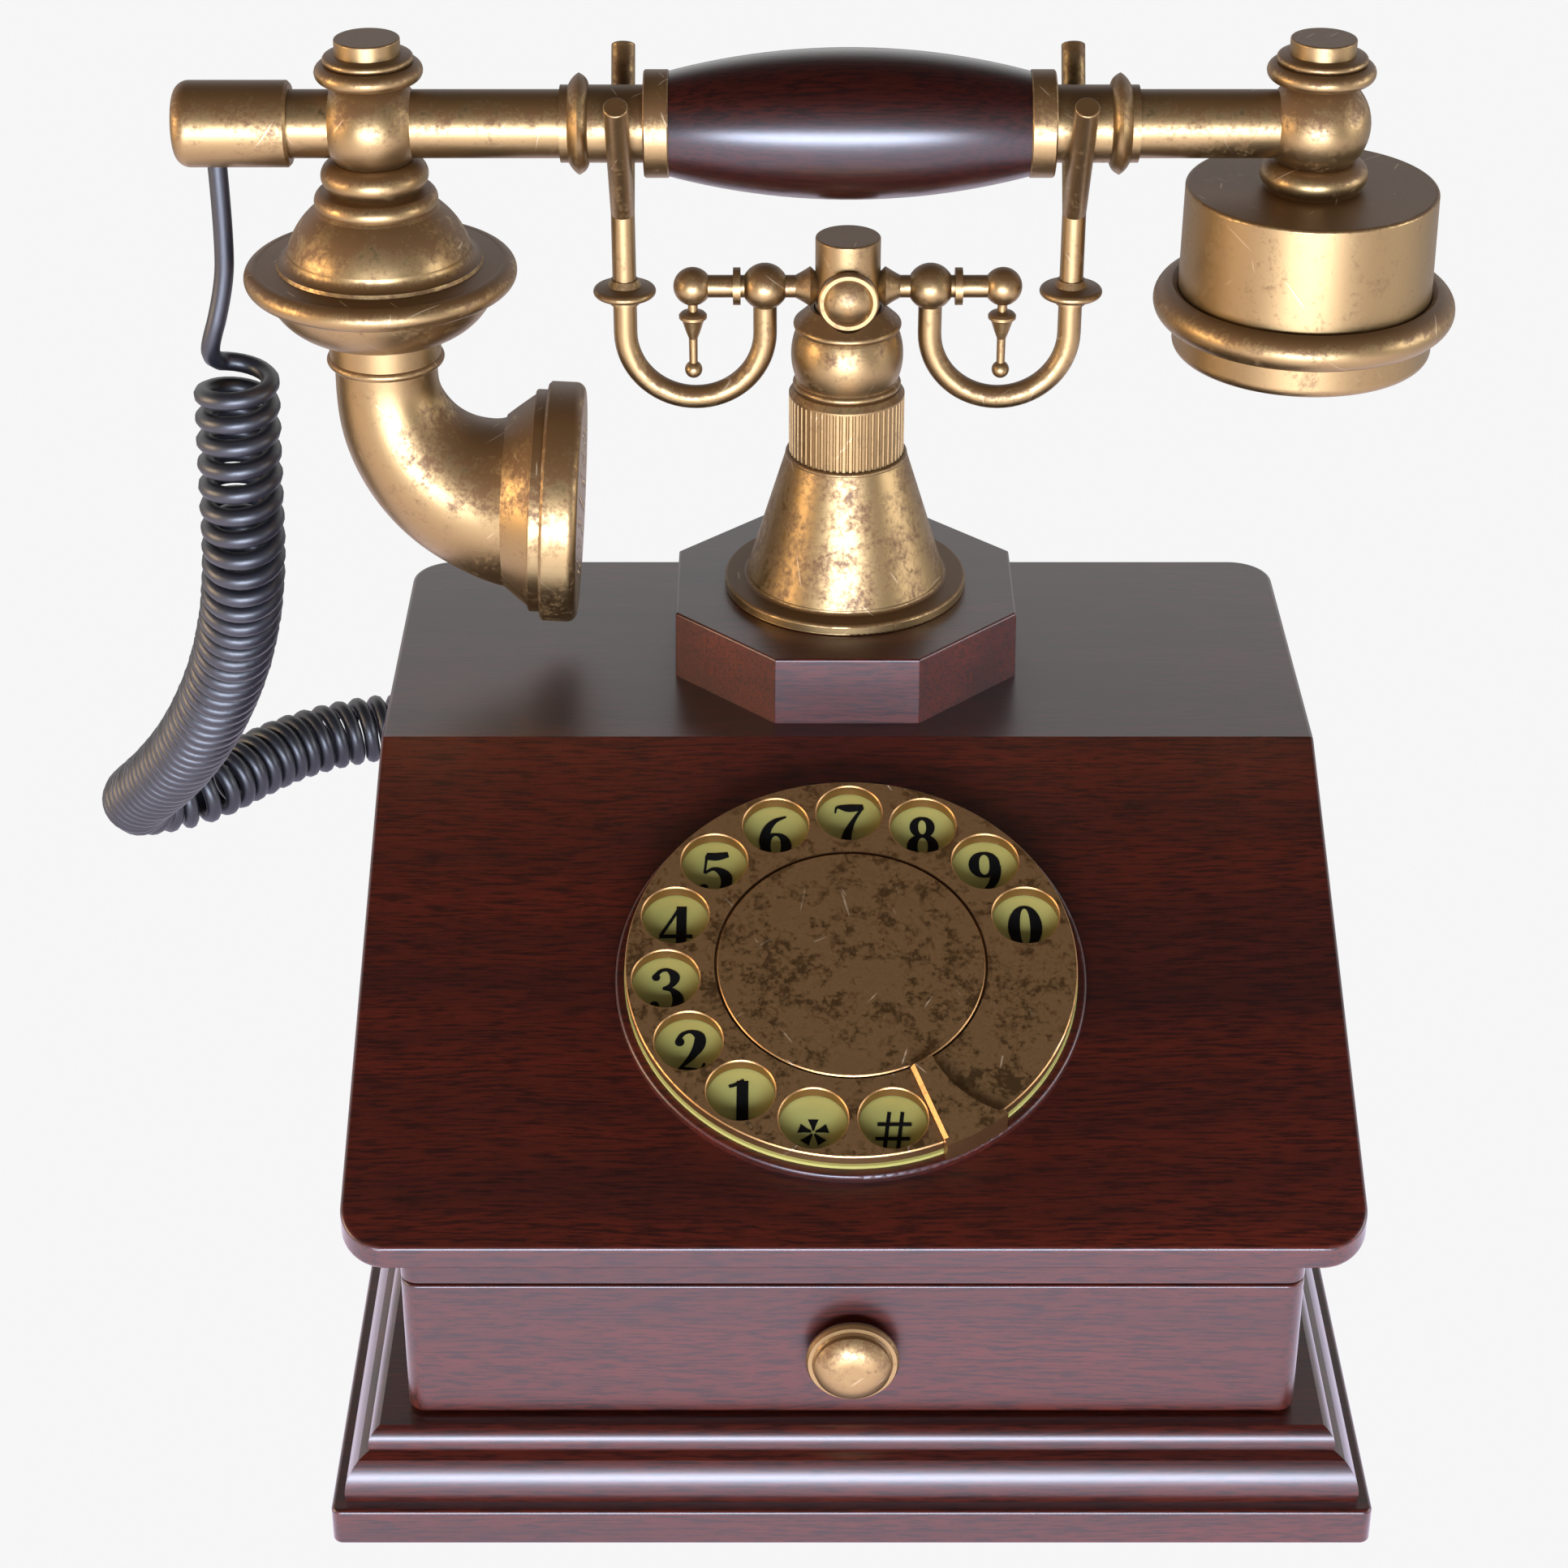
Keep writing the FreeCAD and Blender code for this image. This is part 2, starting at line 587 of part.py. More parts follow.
def make_handset():
    half = grip_half_length
    grip = turned([(0, -half), (grip_end_radius, -half), (grip_mid_radius, 0, grip_end_radius, half),
                   (0, half)])
    save("grip", on_axis(grip, 1))
    ferrule = turned([(0, half), (ferrule_radius - 0.3, half), (ferrule_radius, half + 0.3),
                      (ferrule_radius, half + ferrule_width - 0.3),
                      (ferrule_radius - 0.3, half + ferrule_width), (0, half + ferrule_width)])
    save("ferrules", Part.makeCompound([on_axis(ferrule, 1), on_axis(ferrule, -1)]))
    for side, sign, ball in (("right", 1, ear_x), ("left", -1, mouth_x)):
        start = half + ferrule_width
        ogee = start + sleeve_width
        peak = ogee + ogee_width / 2 - 0.1
        after = ogee + ogee_width
        end = ball if sign > 0 else cap_end - cap_length
        tube = turned([(0, start), (sleeve_radius, start), (sleeve_radius, ogee),
                       (sleeve_radius + 0.5, ogee + 0.1, ogee_radius - 0.3, peak - 0.5),
                       (ogee_radius, peak), (ogee_radius - 0.3, peak + 0.5),
                       (sleeve_radius + 0.4, after - 0.2, sleeve_radius, after),
                       (sleeve_radius, after + collar_width), (tube_outer, after + collar_width),
                       (tube_outer, end), (tube_outer - tube_wall, end),
                       (tube_outer - tube_wall, start + 6), (0, start + 6)])
        save("tube_" + side, on_axis(tube, sign))
    axis = Vector(0, column_y, handset_z)
    bores = [rod(axis + Vector(-mouth_x - 20, 0, 0), axis + Vector(-mouth_x + 20, 0, 0), tube_outer),
             rod(axis + Vector(ear_x - 20, 0, 0), axis + Vector(ear_x, 0, 0), tube_outer)]
    balls = []
    for sign, x, bore in ((-1, mouth_x, bores[0]), (1, ear_x, bores[1])):
        centre = Vector(sign * x, column_y, handset_z)
        ball = Part.makeSphere(joint_radius, centre)
        keep = block(centre.x - 20, centre.x + 20, column_y - 20, column_y + 20,
                     handset_z - neck_seat, handset_z + finial_seat)
        if sign < 0:
            keep = keep.common(block(centre.x - 8.95, centre.x + 8.95, column_y - 20, column_y + 20,
                                     handset_z - 20, handset_z + 20))
        balls.append(ball.common(keep).cut(bore))
    save("joint_balls", Part.makeCompound(balls))
    low = finial_seat
    finial = turned([(0, low), (finial_radius - 1.8, low),
                     (finial_radius, low + 1.75, finial_radius - 1.8, low + 3.5),
                     (8.2, low + 3.5), (8.95, low + 4.3, 8.2, low + 5.1), (7.4, low + 5.3),
                     (button_radius, low + 5.4), (button_radius, low + 8.0),
                     (button_radius - 0.1, low + 8.3, button_radius - 0.4, low + 8.4), (0, low + 8.4)])
    save("finials", Part.makeCompound([moved(finial, Vector(-mouth_x, column_y, handset_z)),
                                       moved(finial, Vector(ear_x, column_y, handset_z))]))
    cap = turned([(0, -cap_end), (cap_radius - 3.2, -cap_end),
                  (cap_radius - 0.9, -cap_end + 0.9, cap_radius, -cap_end + 3.2),
                  (cap_radius, -cap_end + cap_length - 0.6), (cap_radius - 0.6, -cap_end + cap_length),
                  (0, -cap_end + cap_length)])
    cap = on_axis(cap, 1)
    hole = rod(Vector(cord_exit_x, column_y, handset_z - cap_radius - 1),
               Vector(cord_exit_x, column_y, handset_z - cap_radius + cord_grip_depth),
               wire_diameter / 2 + 0.05)
    save("end_cap", cap.cut(hole))
    make_mouth()
    make_ear()


def neck_profile(low):
    """The ring below a joint ball, as the start of a profile that goes on from its underside."""
    ring = neck_ring_radius
    return [(0, -neck_seat), (ring - 2.7, -neck_seat), (ring, -neck_seat - 2.9, ring - 1.9, low)]


def make_mouth():
    place = Vector(-mouth_x, column_y, handset_z)
    top = -neck_level
    bell = turned(neck_profile(top - 3.7) + [
        (9.6, top - 3.9), (11.2, top - 4.1), (12.2, top - 5.2, 12.1, top - 7.2), (12.6, top - 7.8),
        (16.4, top - 11.9, 18.4, top - 16.1), (18.9, top - 17.6, 20.6, top - 18.5), (20.9, top - 19.2),
        (24.6, top - 19.4), (27.5, top - 21.7, 25.0, top - 24.2), (23.4, top - 24.5),
        (20.0, top - 30.3, 12.4, top - 34.2), (11.4, top - 34.6), (11.4, top - 39.2),
        (12.0, top - 40.1, 11.4, top - 41.0), (10.6, top - 41.2), (8.6, top - 41.2), (8.6, top - 34.0),
        (0, top - 34.0)], place)
    save("mouth_bell", bell)
    neck = Vector(-mouth_x, column_y, handset_z + top - 41.2)
    start = neck - Vector(0, 0, horn_drop)
    centre = start + Vector(horn_bend, 0, 0)
    steps = 6

    def station(share, radius, forward=0.0):
        angle = math.radians(180 + share * horn_turn)
        point = centre + Vector(horn_bend * math.cos(angle), 0, horn_bend * math.sin(angle))
        heading = Vector(-math.sin(angle), 0, math.cos(angle))
        return Part.Wire(Part.makeCircle(radius, point + heading * forward, heading))

    def horn(shrink):
        rings = [Part.Wire(Part.makeCircle(horn_start_radius - shrink, neck, Vector(0, 0, -1)))]
        for k in range(steps + 1):
            share = k / steps
            radius = horn_start_radius + (horn_end_radius - horn_start_radius) * share ** 1.35
            rings.append(station(share, radius - shrink))
        return Part.makeLoft(rings, True)

    outer = horn(0)
    elbow = outer.cut(horn(metal_wall))
    angle = math.radians(180 + horn_turn)
    end = centre + Vector(horn_bend * math.cos(angle), 0, horn_bend * math.sin(angle))
    face = Placement(end, Rotation(Vector(0, 1, 0), 90 + (90 - horn_turn)))
    inner = horn_end_radius - metal_wall
    low = horn_flare
    flare = turned([(inner, -3.0), (inner + 1.2, -3.0),
                    (horn_end_radius + 1.6, 0.0, mouth_flange_radius - 1.0, low - 2.6),
                    (mouth_flange_radius - 0.2, low - 2.5), (mouth_flange_radius, low - 2.2),
                    (mouth_flange_radius, low), (inner, low)], face)
    save("horn_elbow", elbow.fuse(flare))
    high = low + mouth_cap_depth
    cap = turned([(0, high - 1.6), (mouth_cap_radius - metal_wall, high - 1.6),
                  (mouth_cap_radius - metal_wall, low), (mouth_cap_radius - 0.6, low),
                  (mouth_cap_radius, low + 0.6), (mouth_cap_radius, high - 2.2),
                  (mouth_cap_radius - 0.6, high - 0.6, mouth_cap_radius - 2.2, high), (0, high)])
    holes = [Part.makeCylinder(1.1, 6, Vector(0, 0, high - 3))]
    for radius, count in ((5.0, 6), (10.0, 12), (15.0, 18)):
        for k in range(count):
            turn = 2 * math.pi * k / count
            holes.append(Part.makeCylinder(1.1, 6, Vector(radius * math.cos(turn),
                                                          radius * math.sin(turn), high - 3)))
    save("mouthpiece_cap", moved(cap.cut(holes), face))
    capsule = turned([(0, low), (inner + 4, low), (inner + 4, high - 2.6), (0, high - 2.6)], face)
    save("microphone", capsule)


def make_ear():
    place = Vector(ear_x, column_y, handset_z)
    lid_z = -neck_level - 3.4
    low = lid_z - ear_body_height
    body = ear_body_radius
    foot = body + 0.3
    cup = turned(neck_profile(lid_z + 0.2) + [
        (9.6, lid_z), (body - 0.8, lid_z), (body - 0.2, lid_z - 0.2, body, lid_z - 0.8), (foot, low),
        (foot - metal_wall, low), (body - metal_wall, lid_z - metal_wall), (0, lid_z - metal_wall)], place)
    save("ear_cup", cup)
    section = ear_ring_section
    rim = ear_ring_radius - section
    bottom = low - section - 0.6 - ear_cap_height
    edge = ear_cap_radius
    cap = turned([(foot - metal_wall, low), (foot + 0.1, low), (foot + 0.1, low + 2.2), (rim, low + 2.9),
                  (ear_ring_radius, low - 0.8, rim, low - 4.5), (edge + 0.1, low - 4.6), (edge, low - 5.0),
                  (edge, bottom + 2.2), (edge - 0.6, bottom + 0.6, edge - 2.2, bottom),
                  (15.0, bottom), (13.0, bottom + 1.6), (0, bottom + 1.9), (0, bottom + 3.4),
                  (edge - metal_wall, bottom + 3.4), (edge - metal_wall, low - 4.0)])
    holes = [Part.makeCylinder(1.1, 6, Vector(0, 0, bottom))]
    for radius, count in ((4.5, 6), (9.0, 12)):
        for k in range(count):
            turn = 2 * math.pi * k / count
            holes.append(Part.makeCylinder(1.1, 6, Vector(radius * math.cos(turn),
                                                          radius * math.sin(turn), bottom)))
    save("ear_cap", moved(cap.cut(holes), place))
    capsule = turned([(0, bottom + 4.2), (20.0, bottom + 4.2), (20.0, low + 6), (12, low + 9), (0, low + 9)],
                     place)
    save("receiver", capsule)


# ---- dial ----
def dial_angle(degrees, radius, height):
    """Point on the dial, clockwise from its top."""
    turn = math.radians(degrees)
    return Vector(radius * math.sin(turn), radius * math.cos(turn), height)


def make_dial():
    bezel = turned([(dial_hole_radius, 0), (bezel_radius, 0), (bezel_radius, bezel_height - 0.8),
                    (bezel_radius - 0.2, bezel_height - 0.2, bezel_radius - 0.8, bezel_height),
                    (dial_hole_radius, bezel_height)])
    save("dial_bezel", on_dial(bezel))
    high = bezel_height + plate_thickness
    plate = turned([(shaft_radius + 0.5, bezel_height), (plate_radius, bezel_height),
                    (plate_radius, high), (shaft_radius + 0.5, high)])
    save("number_plate", on_dial(plate))
    recess = wheel_low + 0.9
    bore = centre_radius + centre_gap / 2
    disc = centre_radius - centre_gap / 2
    wheel = turned([(shaft_radius, wheel_low), (wheel_radius - 0.3, wheel_low),
                    (wheel_radius, wheel_low + 0.3),
                    (wheel_radius, wheel_top - hole_bevel), (wheel_radius - hole_bevel, wheel_top),
                    (bore, wheel_top), (bore, recess), (shaft_radius, recess)])
    holes = []
    for k in range(finger_count):
        angle = finger_first - finger_pitch * k
        low = dial_angle(angle, finger_circle, wheel_low - 1)
        holes.append(Part.makeCylinder(finger_hole_radius, 5, low))
        holes.append(Part.makeCone(finger_hole_radius, finger_hole_radius + 2 * hole_bevel, 2 * hole_bevel,
                                   dial_angle(angle, finger_circle, wheel_top - hole_bevel)))
    save("finger_wheel", on_dial(wheel.cut(holes)))
    centre = turned([(shaft_radius, recess), (disc, recess), (disc, wheel_top - hole_bevel),
                     (disc - hole_bevel, wheel_top), (0, wheel_top), (0, wheel_top - 0.7),
                     (shaft_radius, wheel_top - 0.7)])
    save("dial_centre", on_dial(centre))
    shaft_low = -lid_perp - mount_plate_thickness - gear_thickness - 4
    shaft = Part.makeCylinder(shaft_radius, wheel_top - 0.7 - shaft_low, Vector(0, 0, shaft_low))

    # The stop stands on the bezel beside the wheel and reaches in over it.
    low = wheel_top + turn_gap
    high = low + stop_thickness
    corners = [dial_angle(156.0, centre_radius + 0.6, low), dial_angle(157.5, bezel_radius - 0.2, low),
               dial_angle(140.5, bezel_radius - 0.2, low), dial_angle(146.0, centre_radius + 0.6, low)]
    curve = Part.Arc(corners[2], dial_angle(146.2, 35.0, low), corners[3]).toShape()
    rim = Part.Arc(corners[1], dial_angle(149.0, bezel_radius - 0.2, low), corners[2]).toShape()
    arm = Part.Face(Part.Wire([Part.LineSegment(corners[0], corners[1]).toShape(), rim, curve,
                               Part.LineSegment(corners[3], corners[0]).toShape()]))
    arm = arm.extrude(Vector(0, 0, stop_thickness))
    leg = Part.makeCylinder(bezel_radius - 0.2, high - bezel_height, Vector(0, 0, bezel_height))
    leg = leg.cut(Part.makeCylinder(wheel_radius + turn_gap, 20, Vector(0, 0, 0)))
    wedge = Part.Face(Part.makePolygon([Vector(0, 0, 0), dial_angle(157.5, 80, 0),
                                        dial_angle(140.5, 80, 0), Vector(0, 0, 0)]))
    leg = leg.common(wedge.extrude(Vector(0, 0, 30)))
    stop = arm.fuse(leg).removeSplitter()
    raised = Vector(0, 0, stop_thickness)
    edge = Part.makeLine(corners[0] + raised, corners[1] + raised)
    bevel = [e for e in stop.Edges if e.BoundBox.ZMin > high - 0.01 and e.distToShape(edge)[0] < 1e-6
             and e.Length > 10 and type(e.Curve).__name__ == "Line"]
    save("finger_stop", on_dial(stop.makeChamfer(stop_bevel, bevel)))

    top = -lid_perp
    base = top - mount_plate_thickness
    plate = Part.makeCylinder(mount_plate_radius, mount_plate_thickness, Vector(0, 0, base))
    plate = plate.cut([Part.makeCylinder(shaft_radius + turn_gap, 10, Vector(0, 0, base - 2)),
                       Part.makeCylinder(1.5 + turn_gap, 10, Vector(0, gear_centres, base - 2))])
    cheeks = [block(x, x + 1.5, gear_centres - 3.5, gear_centres + 4.5, base - 13.5, base)
              for x in (-11.7, 10.2)]
    lower = block(-11.7, 11.7, gear_centres - 3.5, gear_centres + 4.5, base - 13.5, base - 12)
    lower = lower.cut(Part.makeCylinder(1.5 + turn_gap, 10, Vector(0, gear_centres, base - 16)))
    plate = plate.fuse(cheeks + [lower])
    save("dial_plate", on_dial(plate.removeSplitter()))

    gear_low = base - 0.6 - gear_thickness
    wheel_gear = moved(gear(gear_teeth, gear_thickness, 0.0), Vector(0, 0, gear_low))
    save("dial_shaft", on_dial(shaft.fuse(wheel_gear).removeSplitter()))
    pinion = gear(pinion_teeth, gear_thickness, math.pi / 2 + math.pi / pinion_teeth)
    pinion = moved(pinion, Vector(0, gear_centres, gear_low))
    spindle = Part.makeCylinder(1.5, 14.6, Vector(0, gear_centres, base - 13.3))
    fly = block(-8, 8, gear_centres - 2, gear_centres + 2, base - 8.5, base - 6.5)
    weights = [Part.makeCylinder(2.4, 3.4, Vector(s * 6.5, gear_centres, base - 9.2)) for s in (-1, 1)]
    save("governor", on_dial(pinion.fuse([spindle, fly] + weights).removeSplitter()))


def gear(teeth, thickness, phase):
    """Spur gear with plain tapered teeth, thin enough to leave backlash."""
    pitch = gear_module * teeth / 2
    root = pitch - 1.15 * gear_module
    tip = pitch + 0.8 * gear_module
    body = Part.makeCylinder(root, thickness)
    foot = 0.85 * gear_module
    crest = 0.42 * gear_module
    pieces = []
    for k in range(teeth):
        angle = phase + 2 * math.pi * k / teeth
        out = Vector(math.cos(angle), math.sin(angle), 0)
        side = Vector(-math.sin(angle), math.cos(angle), 0)
        corners = [out * (root - 0.3) + side * foot, out * (root - 0.3) - side * foot,
                   out * tip - side * crest, out * tip + side * crest]
        pieces.append(Part.Face(Part.makePolygon(corners + corners[:1])).extrude(Vector(0, 0, thickness)))
    return body.fuse(pieces).removeSplitter()


# ---- inside the case ----
def make_ringer():
    shelf = shelf_low + shelf_thickness
    gongs = []
    posts = []
    for sign in (-1, 1):
        centre = Vector(sign * gong_x, gong_y, shelf)
        gongs.append(turned([(2.1, 20.0), (8.0, 20.0), (18.5, 17.0, 22.0, 6.0), (22.6, 4.0), (21.6, 4.0),
                             (17.4, 15.9, 8.0, 18.8), (2.1, 18.8)], centre))
        posts.append(turned([(0, 0), (5.0, 0), (5.0, 1.5), (2.0, 2.0), (2.0, 20.0), (3.6, 20.0), (3.6, 22.0),
                             (0, 22.0)], centre).cut(turned([(2.0, 18.7), (5.0, 18.7), (5.0, 20.0),
                                                             (2.0, 20.0)], centre)))
    save("gongs", Part.makeCompound(gongs))
    save("gong_posts", Part.makeCompound(posts))
    back = gong_y + clapper_length
    base = block(-14, 14, back - 3, back + 18, shelf, shelf + 2)
    cores = [Part.makeCylinder(5.5, 14, Vector(s * 7, back + 11, shelf + 2)) for s in (-1, 1)]
    yoke = block(-12.5, 12.5, back + 7, back + 15, shelf + 16, shelf + 18)
    pin = Part.makeCylinder(1.2, 7, Vector(0, back, shelf + 2))
    save("ringer_coil", base.fuse(cores + [yoke, pin]).removeSplitter())
    height = shelf + 5
    eye = Part.makeCylinder(3.0, 4.0, Vector(0, back, height - 2))
    arm = rod(Vector(0, back - 2, height), Vector(0, gong_y, height), 0.9)
    head = Part.makeSphere(2.6, Vector(0, gong_y, height))
    hollow = Part.makeCylinder(1.2 + turn_gap / 2, 9, Vector(0, back, shelf + 2))
    save("clapper", eye.fuse([arm, head]).cut(hollow).removeSplitter())


def make_switch_and_board():
    """The lever hangs from the lid, with its tip under the plunger."""
    shelf = shelf_low + shelf_thickness
    ceiling = lid_top_z - lid_thickness
    pivot = Vector(lever_pivot_x, column_y, lever_z)
    x0 = lever_pivot_x - 3
    frame = block(x0, x0 + 8, column_y - 6, column_y + 6, ceiling - 2, ceiling)
    cheeks = [block(x0, x0 + 6, y, y + 2, lever_z - 3, ceiling) for y in (column_y - 6, column_y + 4)]
    pin = rod(pivot - Vector(0, 6, 0), pivot + Vector(0, 6, 0), 1.0)
    save("switch_frame", frame.fuse(cheeks + [pin]).removeSplitter())
    lever = block(-3, lever_pivot_x, column_y - 3, column_y + 3, lever_z - 0.8, lever_z + 0.8)
    boss = rod(pivot - Vector(0, 3.5, 0), pivot + Vector(0, 3.5, 0), 2.4)
    hollow = rod(pivot - Vector(0, 9, 0), pivot + Vector(0, 9, 0), 1.0 + turn_gap / 2)
    save("hook_lever", lever.fuse(boss).cut(hollow).removeSplitter())
    board = block(-60, -20, -58, -6, shelf + 2, shelf + 3.6)
    blocks = [block(-55, -45, -50, -36, shelf + 3.6, shelf + 9),
              block(-38, -26, -46, -34, shelf + 3.6, shelf + 8),
              block(-58, -54, -56, -8, shelf, shelf + 2), block(-26, -22, -56, -8, shelf, shelf + 2)]
    save("circuit_board", board.fuse(blocks).removeSplitter())


# ---- cord ----
def rounded_path(points):
    """Straight runs joined by tangent arcs, each arc as large as its two runs allow."""
    corners = [Vector(*p) for p in points]
    edges = []
    radii = []
    start = corners[0]
    for before, corner, after in zip(corners, corners[1:], corners[2:]):
        into = (corner - before).normalize()
        out = (after - corner).normalize()
        turn = into.getAngle(out)
        run = min((corner - before).Length, (after - corner).Length)
        setback = 0.45 * run
        radii.append(setback / math.tan(turn / 2))
        first = corner - into * setback
        last = corner + out * setback
        bisector = (out - into).normalize()
        middle = corner + bisector * (radii[-1] / math.cos(turn / 2) - radii[-1])
        edges.append(Part.LineSegment(start, first).toShape())
        edges.append(Part.Arc(first, middle, last).toShape())
        start = last
    edges.append(Part.LineSegment(start, corners[-1]).toShape())
    return Part.Wire(edges), radii


def cord_tube(name, points, diameter):
    path, radii = rounded_path(points)
    start = Vector(*points[0])
    section = Part.Wire(Part.makeCircle(diameter / 2, start, Vector(*points[1]) - start))
    tube = path.makePipeShell([section], True, False)
    ideal = math.pi * diameter ** 2 / 4 * path.Length
    print("%s length %.1f, radii %s, volume %.3f of ideal"
          % (name, path.Length, " ".join("%.0f" % r for r in radii), tube.Volume / ideal))
    save(name, tube)


def make_cord():
    """The plain lead from the handset, the curly length, and the plain tail into the case."""
    cord_tube("cord_lead", lead_route, wire_diameter)
    cord_tube("cord_coil", coil_route, coil_diameter)
    cord_tube("cord_tail", tail_route, wire_diameter)
    stem = gland_stem_radius
    gland = turned([(tail_radius, -wall), (stem, -wall), (stem, 0), (7.0, 0), (7.0, 1.6), (4.6, 2.4),
                    (3.2, gland_length), (tail_radius, gland_length)],
                   Placement(Vector(gland_x, body_rear, gland_z), Rotation(Vector(1, 0, 0), -90)))
    save("cord_gland", gland)
    shell = block(jack_x - jack_half, jack_x + jack_half, body_rear - wall - 4, body_rear + 1.0,
                  gland_z - jack_half, gland_z + jack_half)
    mouth = block(jack_x - 5.0, jack_x + 5.0, body_rear - 10, body_rear + 2, gland_z - 4.0, gland_z + 4.0)
    latch = block(jack_x - 2.0, jack_x + 2.0, body_rear - 10, body_rear + 2, gland_z - 5.4, gland_z - 4.0)
    save("line_jack", shell.cut(mouth).cut(latch))


# ---- places of the small pieces ----
dial_hole_radius = 12.0
gland_x = -41.5
gland_z = 36.0
gland_stem_radius = 4.5
gland_length = 8.0
jack_x = 30.0
jack_half = 7.0
tail_radius = wire_diameter / 2 + 0.05
cord_exit_x = -125.5
cord_grip_depth = 3.5
gong_x = 27.0
gong_y = 22.0
clapper_length = 20.0
lever_z = 92.0
lever_pivot_x = 16.0

# The route, from the cap of the handset down to the table, back past the case and into its rear wall.
exit_z = handset_z - cap_radius
lead_route = [(cord_exit_x, column_y, exit_z + 3.0), (-125.2, column_y, 207.0), (-126.2, column_y, 192.5),
              (-130.9, 54.7, 178.8)]
coil_route = [(-125.1, 55.6, 177.6), (-126.1, 55.2, 153.0), (-127.3, 58.5, 129.0),
              (-133.3, 73.0, 103.0), (-143.2, 92.5, 77.0), (-154.2, 113.8, 54.0),
              (-164.7, 133.4, 35.5), (-172.0, 146.8, 23.8), (-177.1, 156.5, 15.4),
              (-176.2, 162.7, 11.3), (-171.6, 167.8, 9.2), (-162.4, 172.3, 9.0),
              (-152.9, 183.9, 9.0), (-140.4, 197.3, 9.0), (-120.0, 206.8, 9.0),
              (-96.0, 207.2, 9.0), (-74.0, 198.0, 9.0), (-57.0, 180.0, 9.0),
              (-47.0, 158.0, 9.0), (-42.5, 136.0, 10.5)]
tail_route = [(gland_x, body_rear + 2.0, gland_z), (gland_x, 98.3, gland_z), (-41.6, 108.5, 33.2),
              (-41.9, 117.6, 28.2), (-42.2, 126.5, 22.8), (-42.5, 135.6, 17.6)]

make_plinth()
make_case()
make_lid()
make_drawer()
seat_z = make_column()
make_cradle(seat_z)
make_plunger_spring(seat_z, seat_z)
make_handset()
make_dial()
make_ringer()
make_switch_and_board()
make_cord()
print("handset axis z %.2f, cross rod z %.2f, octagon top %.2f" % (handset_z, rod_z, octagon_top))
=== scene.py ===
import json
import math
import bpy
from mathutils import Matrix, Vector


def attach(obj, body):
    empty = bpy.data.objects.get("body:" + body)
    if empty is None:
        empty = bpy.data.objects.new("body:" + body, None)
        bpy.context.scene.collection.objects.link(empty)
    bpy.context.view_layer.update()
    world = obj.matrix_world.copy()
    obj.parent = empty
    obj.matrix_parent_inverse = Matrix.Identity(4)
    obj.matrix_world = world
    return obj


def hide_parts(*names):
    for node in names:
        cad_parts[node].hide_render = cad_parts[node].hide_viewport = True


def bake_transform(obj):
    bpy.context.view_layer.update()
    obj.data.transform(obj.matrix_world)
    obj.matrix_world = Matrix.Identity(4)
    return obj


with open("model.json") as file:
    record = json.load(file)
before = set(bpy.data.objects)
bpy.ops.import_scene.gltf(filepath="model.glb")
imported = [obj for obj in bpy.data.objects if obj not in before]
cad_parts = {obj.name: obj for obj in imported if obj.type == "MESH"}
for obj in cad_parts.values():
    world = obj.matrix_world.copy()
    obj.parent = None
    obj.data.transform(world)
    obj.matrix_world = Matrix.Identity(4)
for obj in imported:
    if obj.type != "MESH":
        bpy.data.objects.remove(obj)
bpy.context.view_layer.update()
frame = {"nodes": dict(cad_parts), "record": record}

nodes = frame["nodes"]
scene = bpy.context.scene


# camera
camera = {
    "lens": 80.0,
    "sensor": 36.0,
    "place": (-0.0129, -0.6051, 0.4598),
    "downTilt": 30.0,  # degrees below the horizon
}

cameraData = bpy.data.cameras.new("camera")
cameraData.lens = camera["lens"]
cameraData.sensor_width = camera["sensor"]
cameraObject = bpy.data.objects.new("camera", cameraData)
cameraObject.location = camera["place"]
cameraObject.rotation_euler = (math.radians(90 - camera["downTilt"]), 0, 0)
scene.collection.objects.link(cameraObject)
scene.camera = cameraObject
print("camera set")


# small helpers
def addMesh(name, points, faces, smooth=True):
    mesh = bpy.data.meshes.new(name)
    mesh.from_pydata([tuple(p) for p in points], [], faces)
    mesh.update()
    if smooth:
        mesh.shade_smooth()
    piece = bpy.data.objects.new(name, mesh)
    scene.collection.objects.link(piece)
    return piece


def routeSpline(name, points):
    curve = bpy.data.curves.new(name, "CURVE")
    curve.dimensions = "3D"
    curve.resolution_u = 24
    spline = curve.splines.new("NURBS")
    spline.points.add(len(points) - 1)
    for target, point in zip(spline.points, points):
        target.co = (point[0], point[1], point[2], 1.0)
    spline.order_u = 3
    spline.use_endpoint_u = True
    return bpy.data.objects.new(name, curve)


def splinePoints(name, points):
    # the line of the spline itself, read from a curve that has no bevel
    route = routeSpline(name, points)
    mesh = bpy.data.meshes.new_from_object(route)
    line = [v.co.copy() for v in mesh.vertices]
    bpy.data.meshes.remove(mesh)
    bpy.data.objects.remove(route)
    return line


def evenSteps(line, step):
    # the same line with points an even distance apart
    total = sum((b - a).length for a, b in zip(line, line[1:]))
    count = max(2, round(total / step))
    gap = total / count
    result = [line[0].copy()]
    travelled = 0.0
    for a, b in zip(line, line[1:]):
        length = (b - a).length
        while len(result) < count and travelled + length >= gap * len(result) - 1e-12:
            share = (gap * len(result) - travelled) / length
            result.append(a.lerp(b, share))
        travelled += length
    result.append(line[-1].copy())
    return result


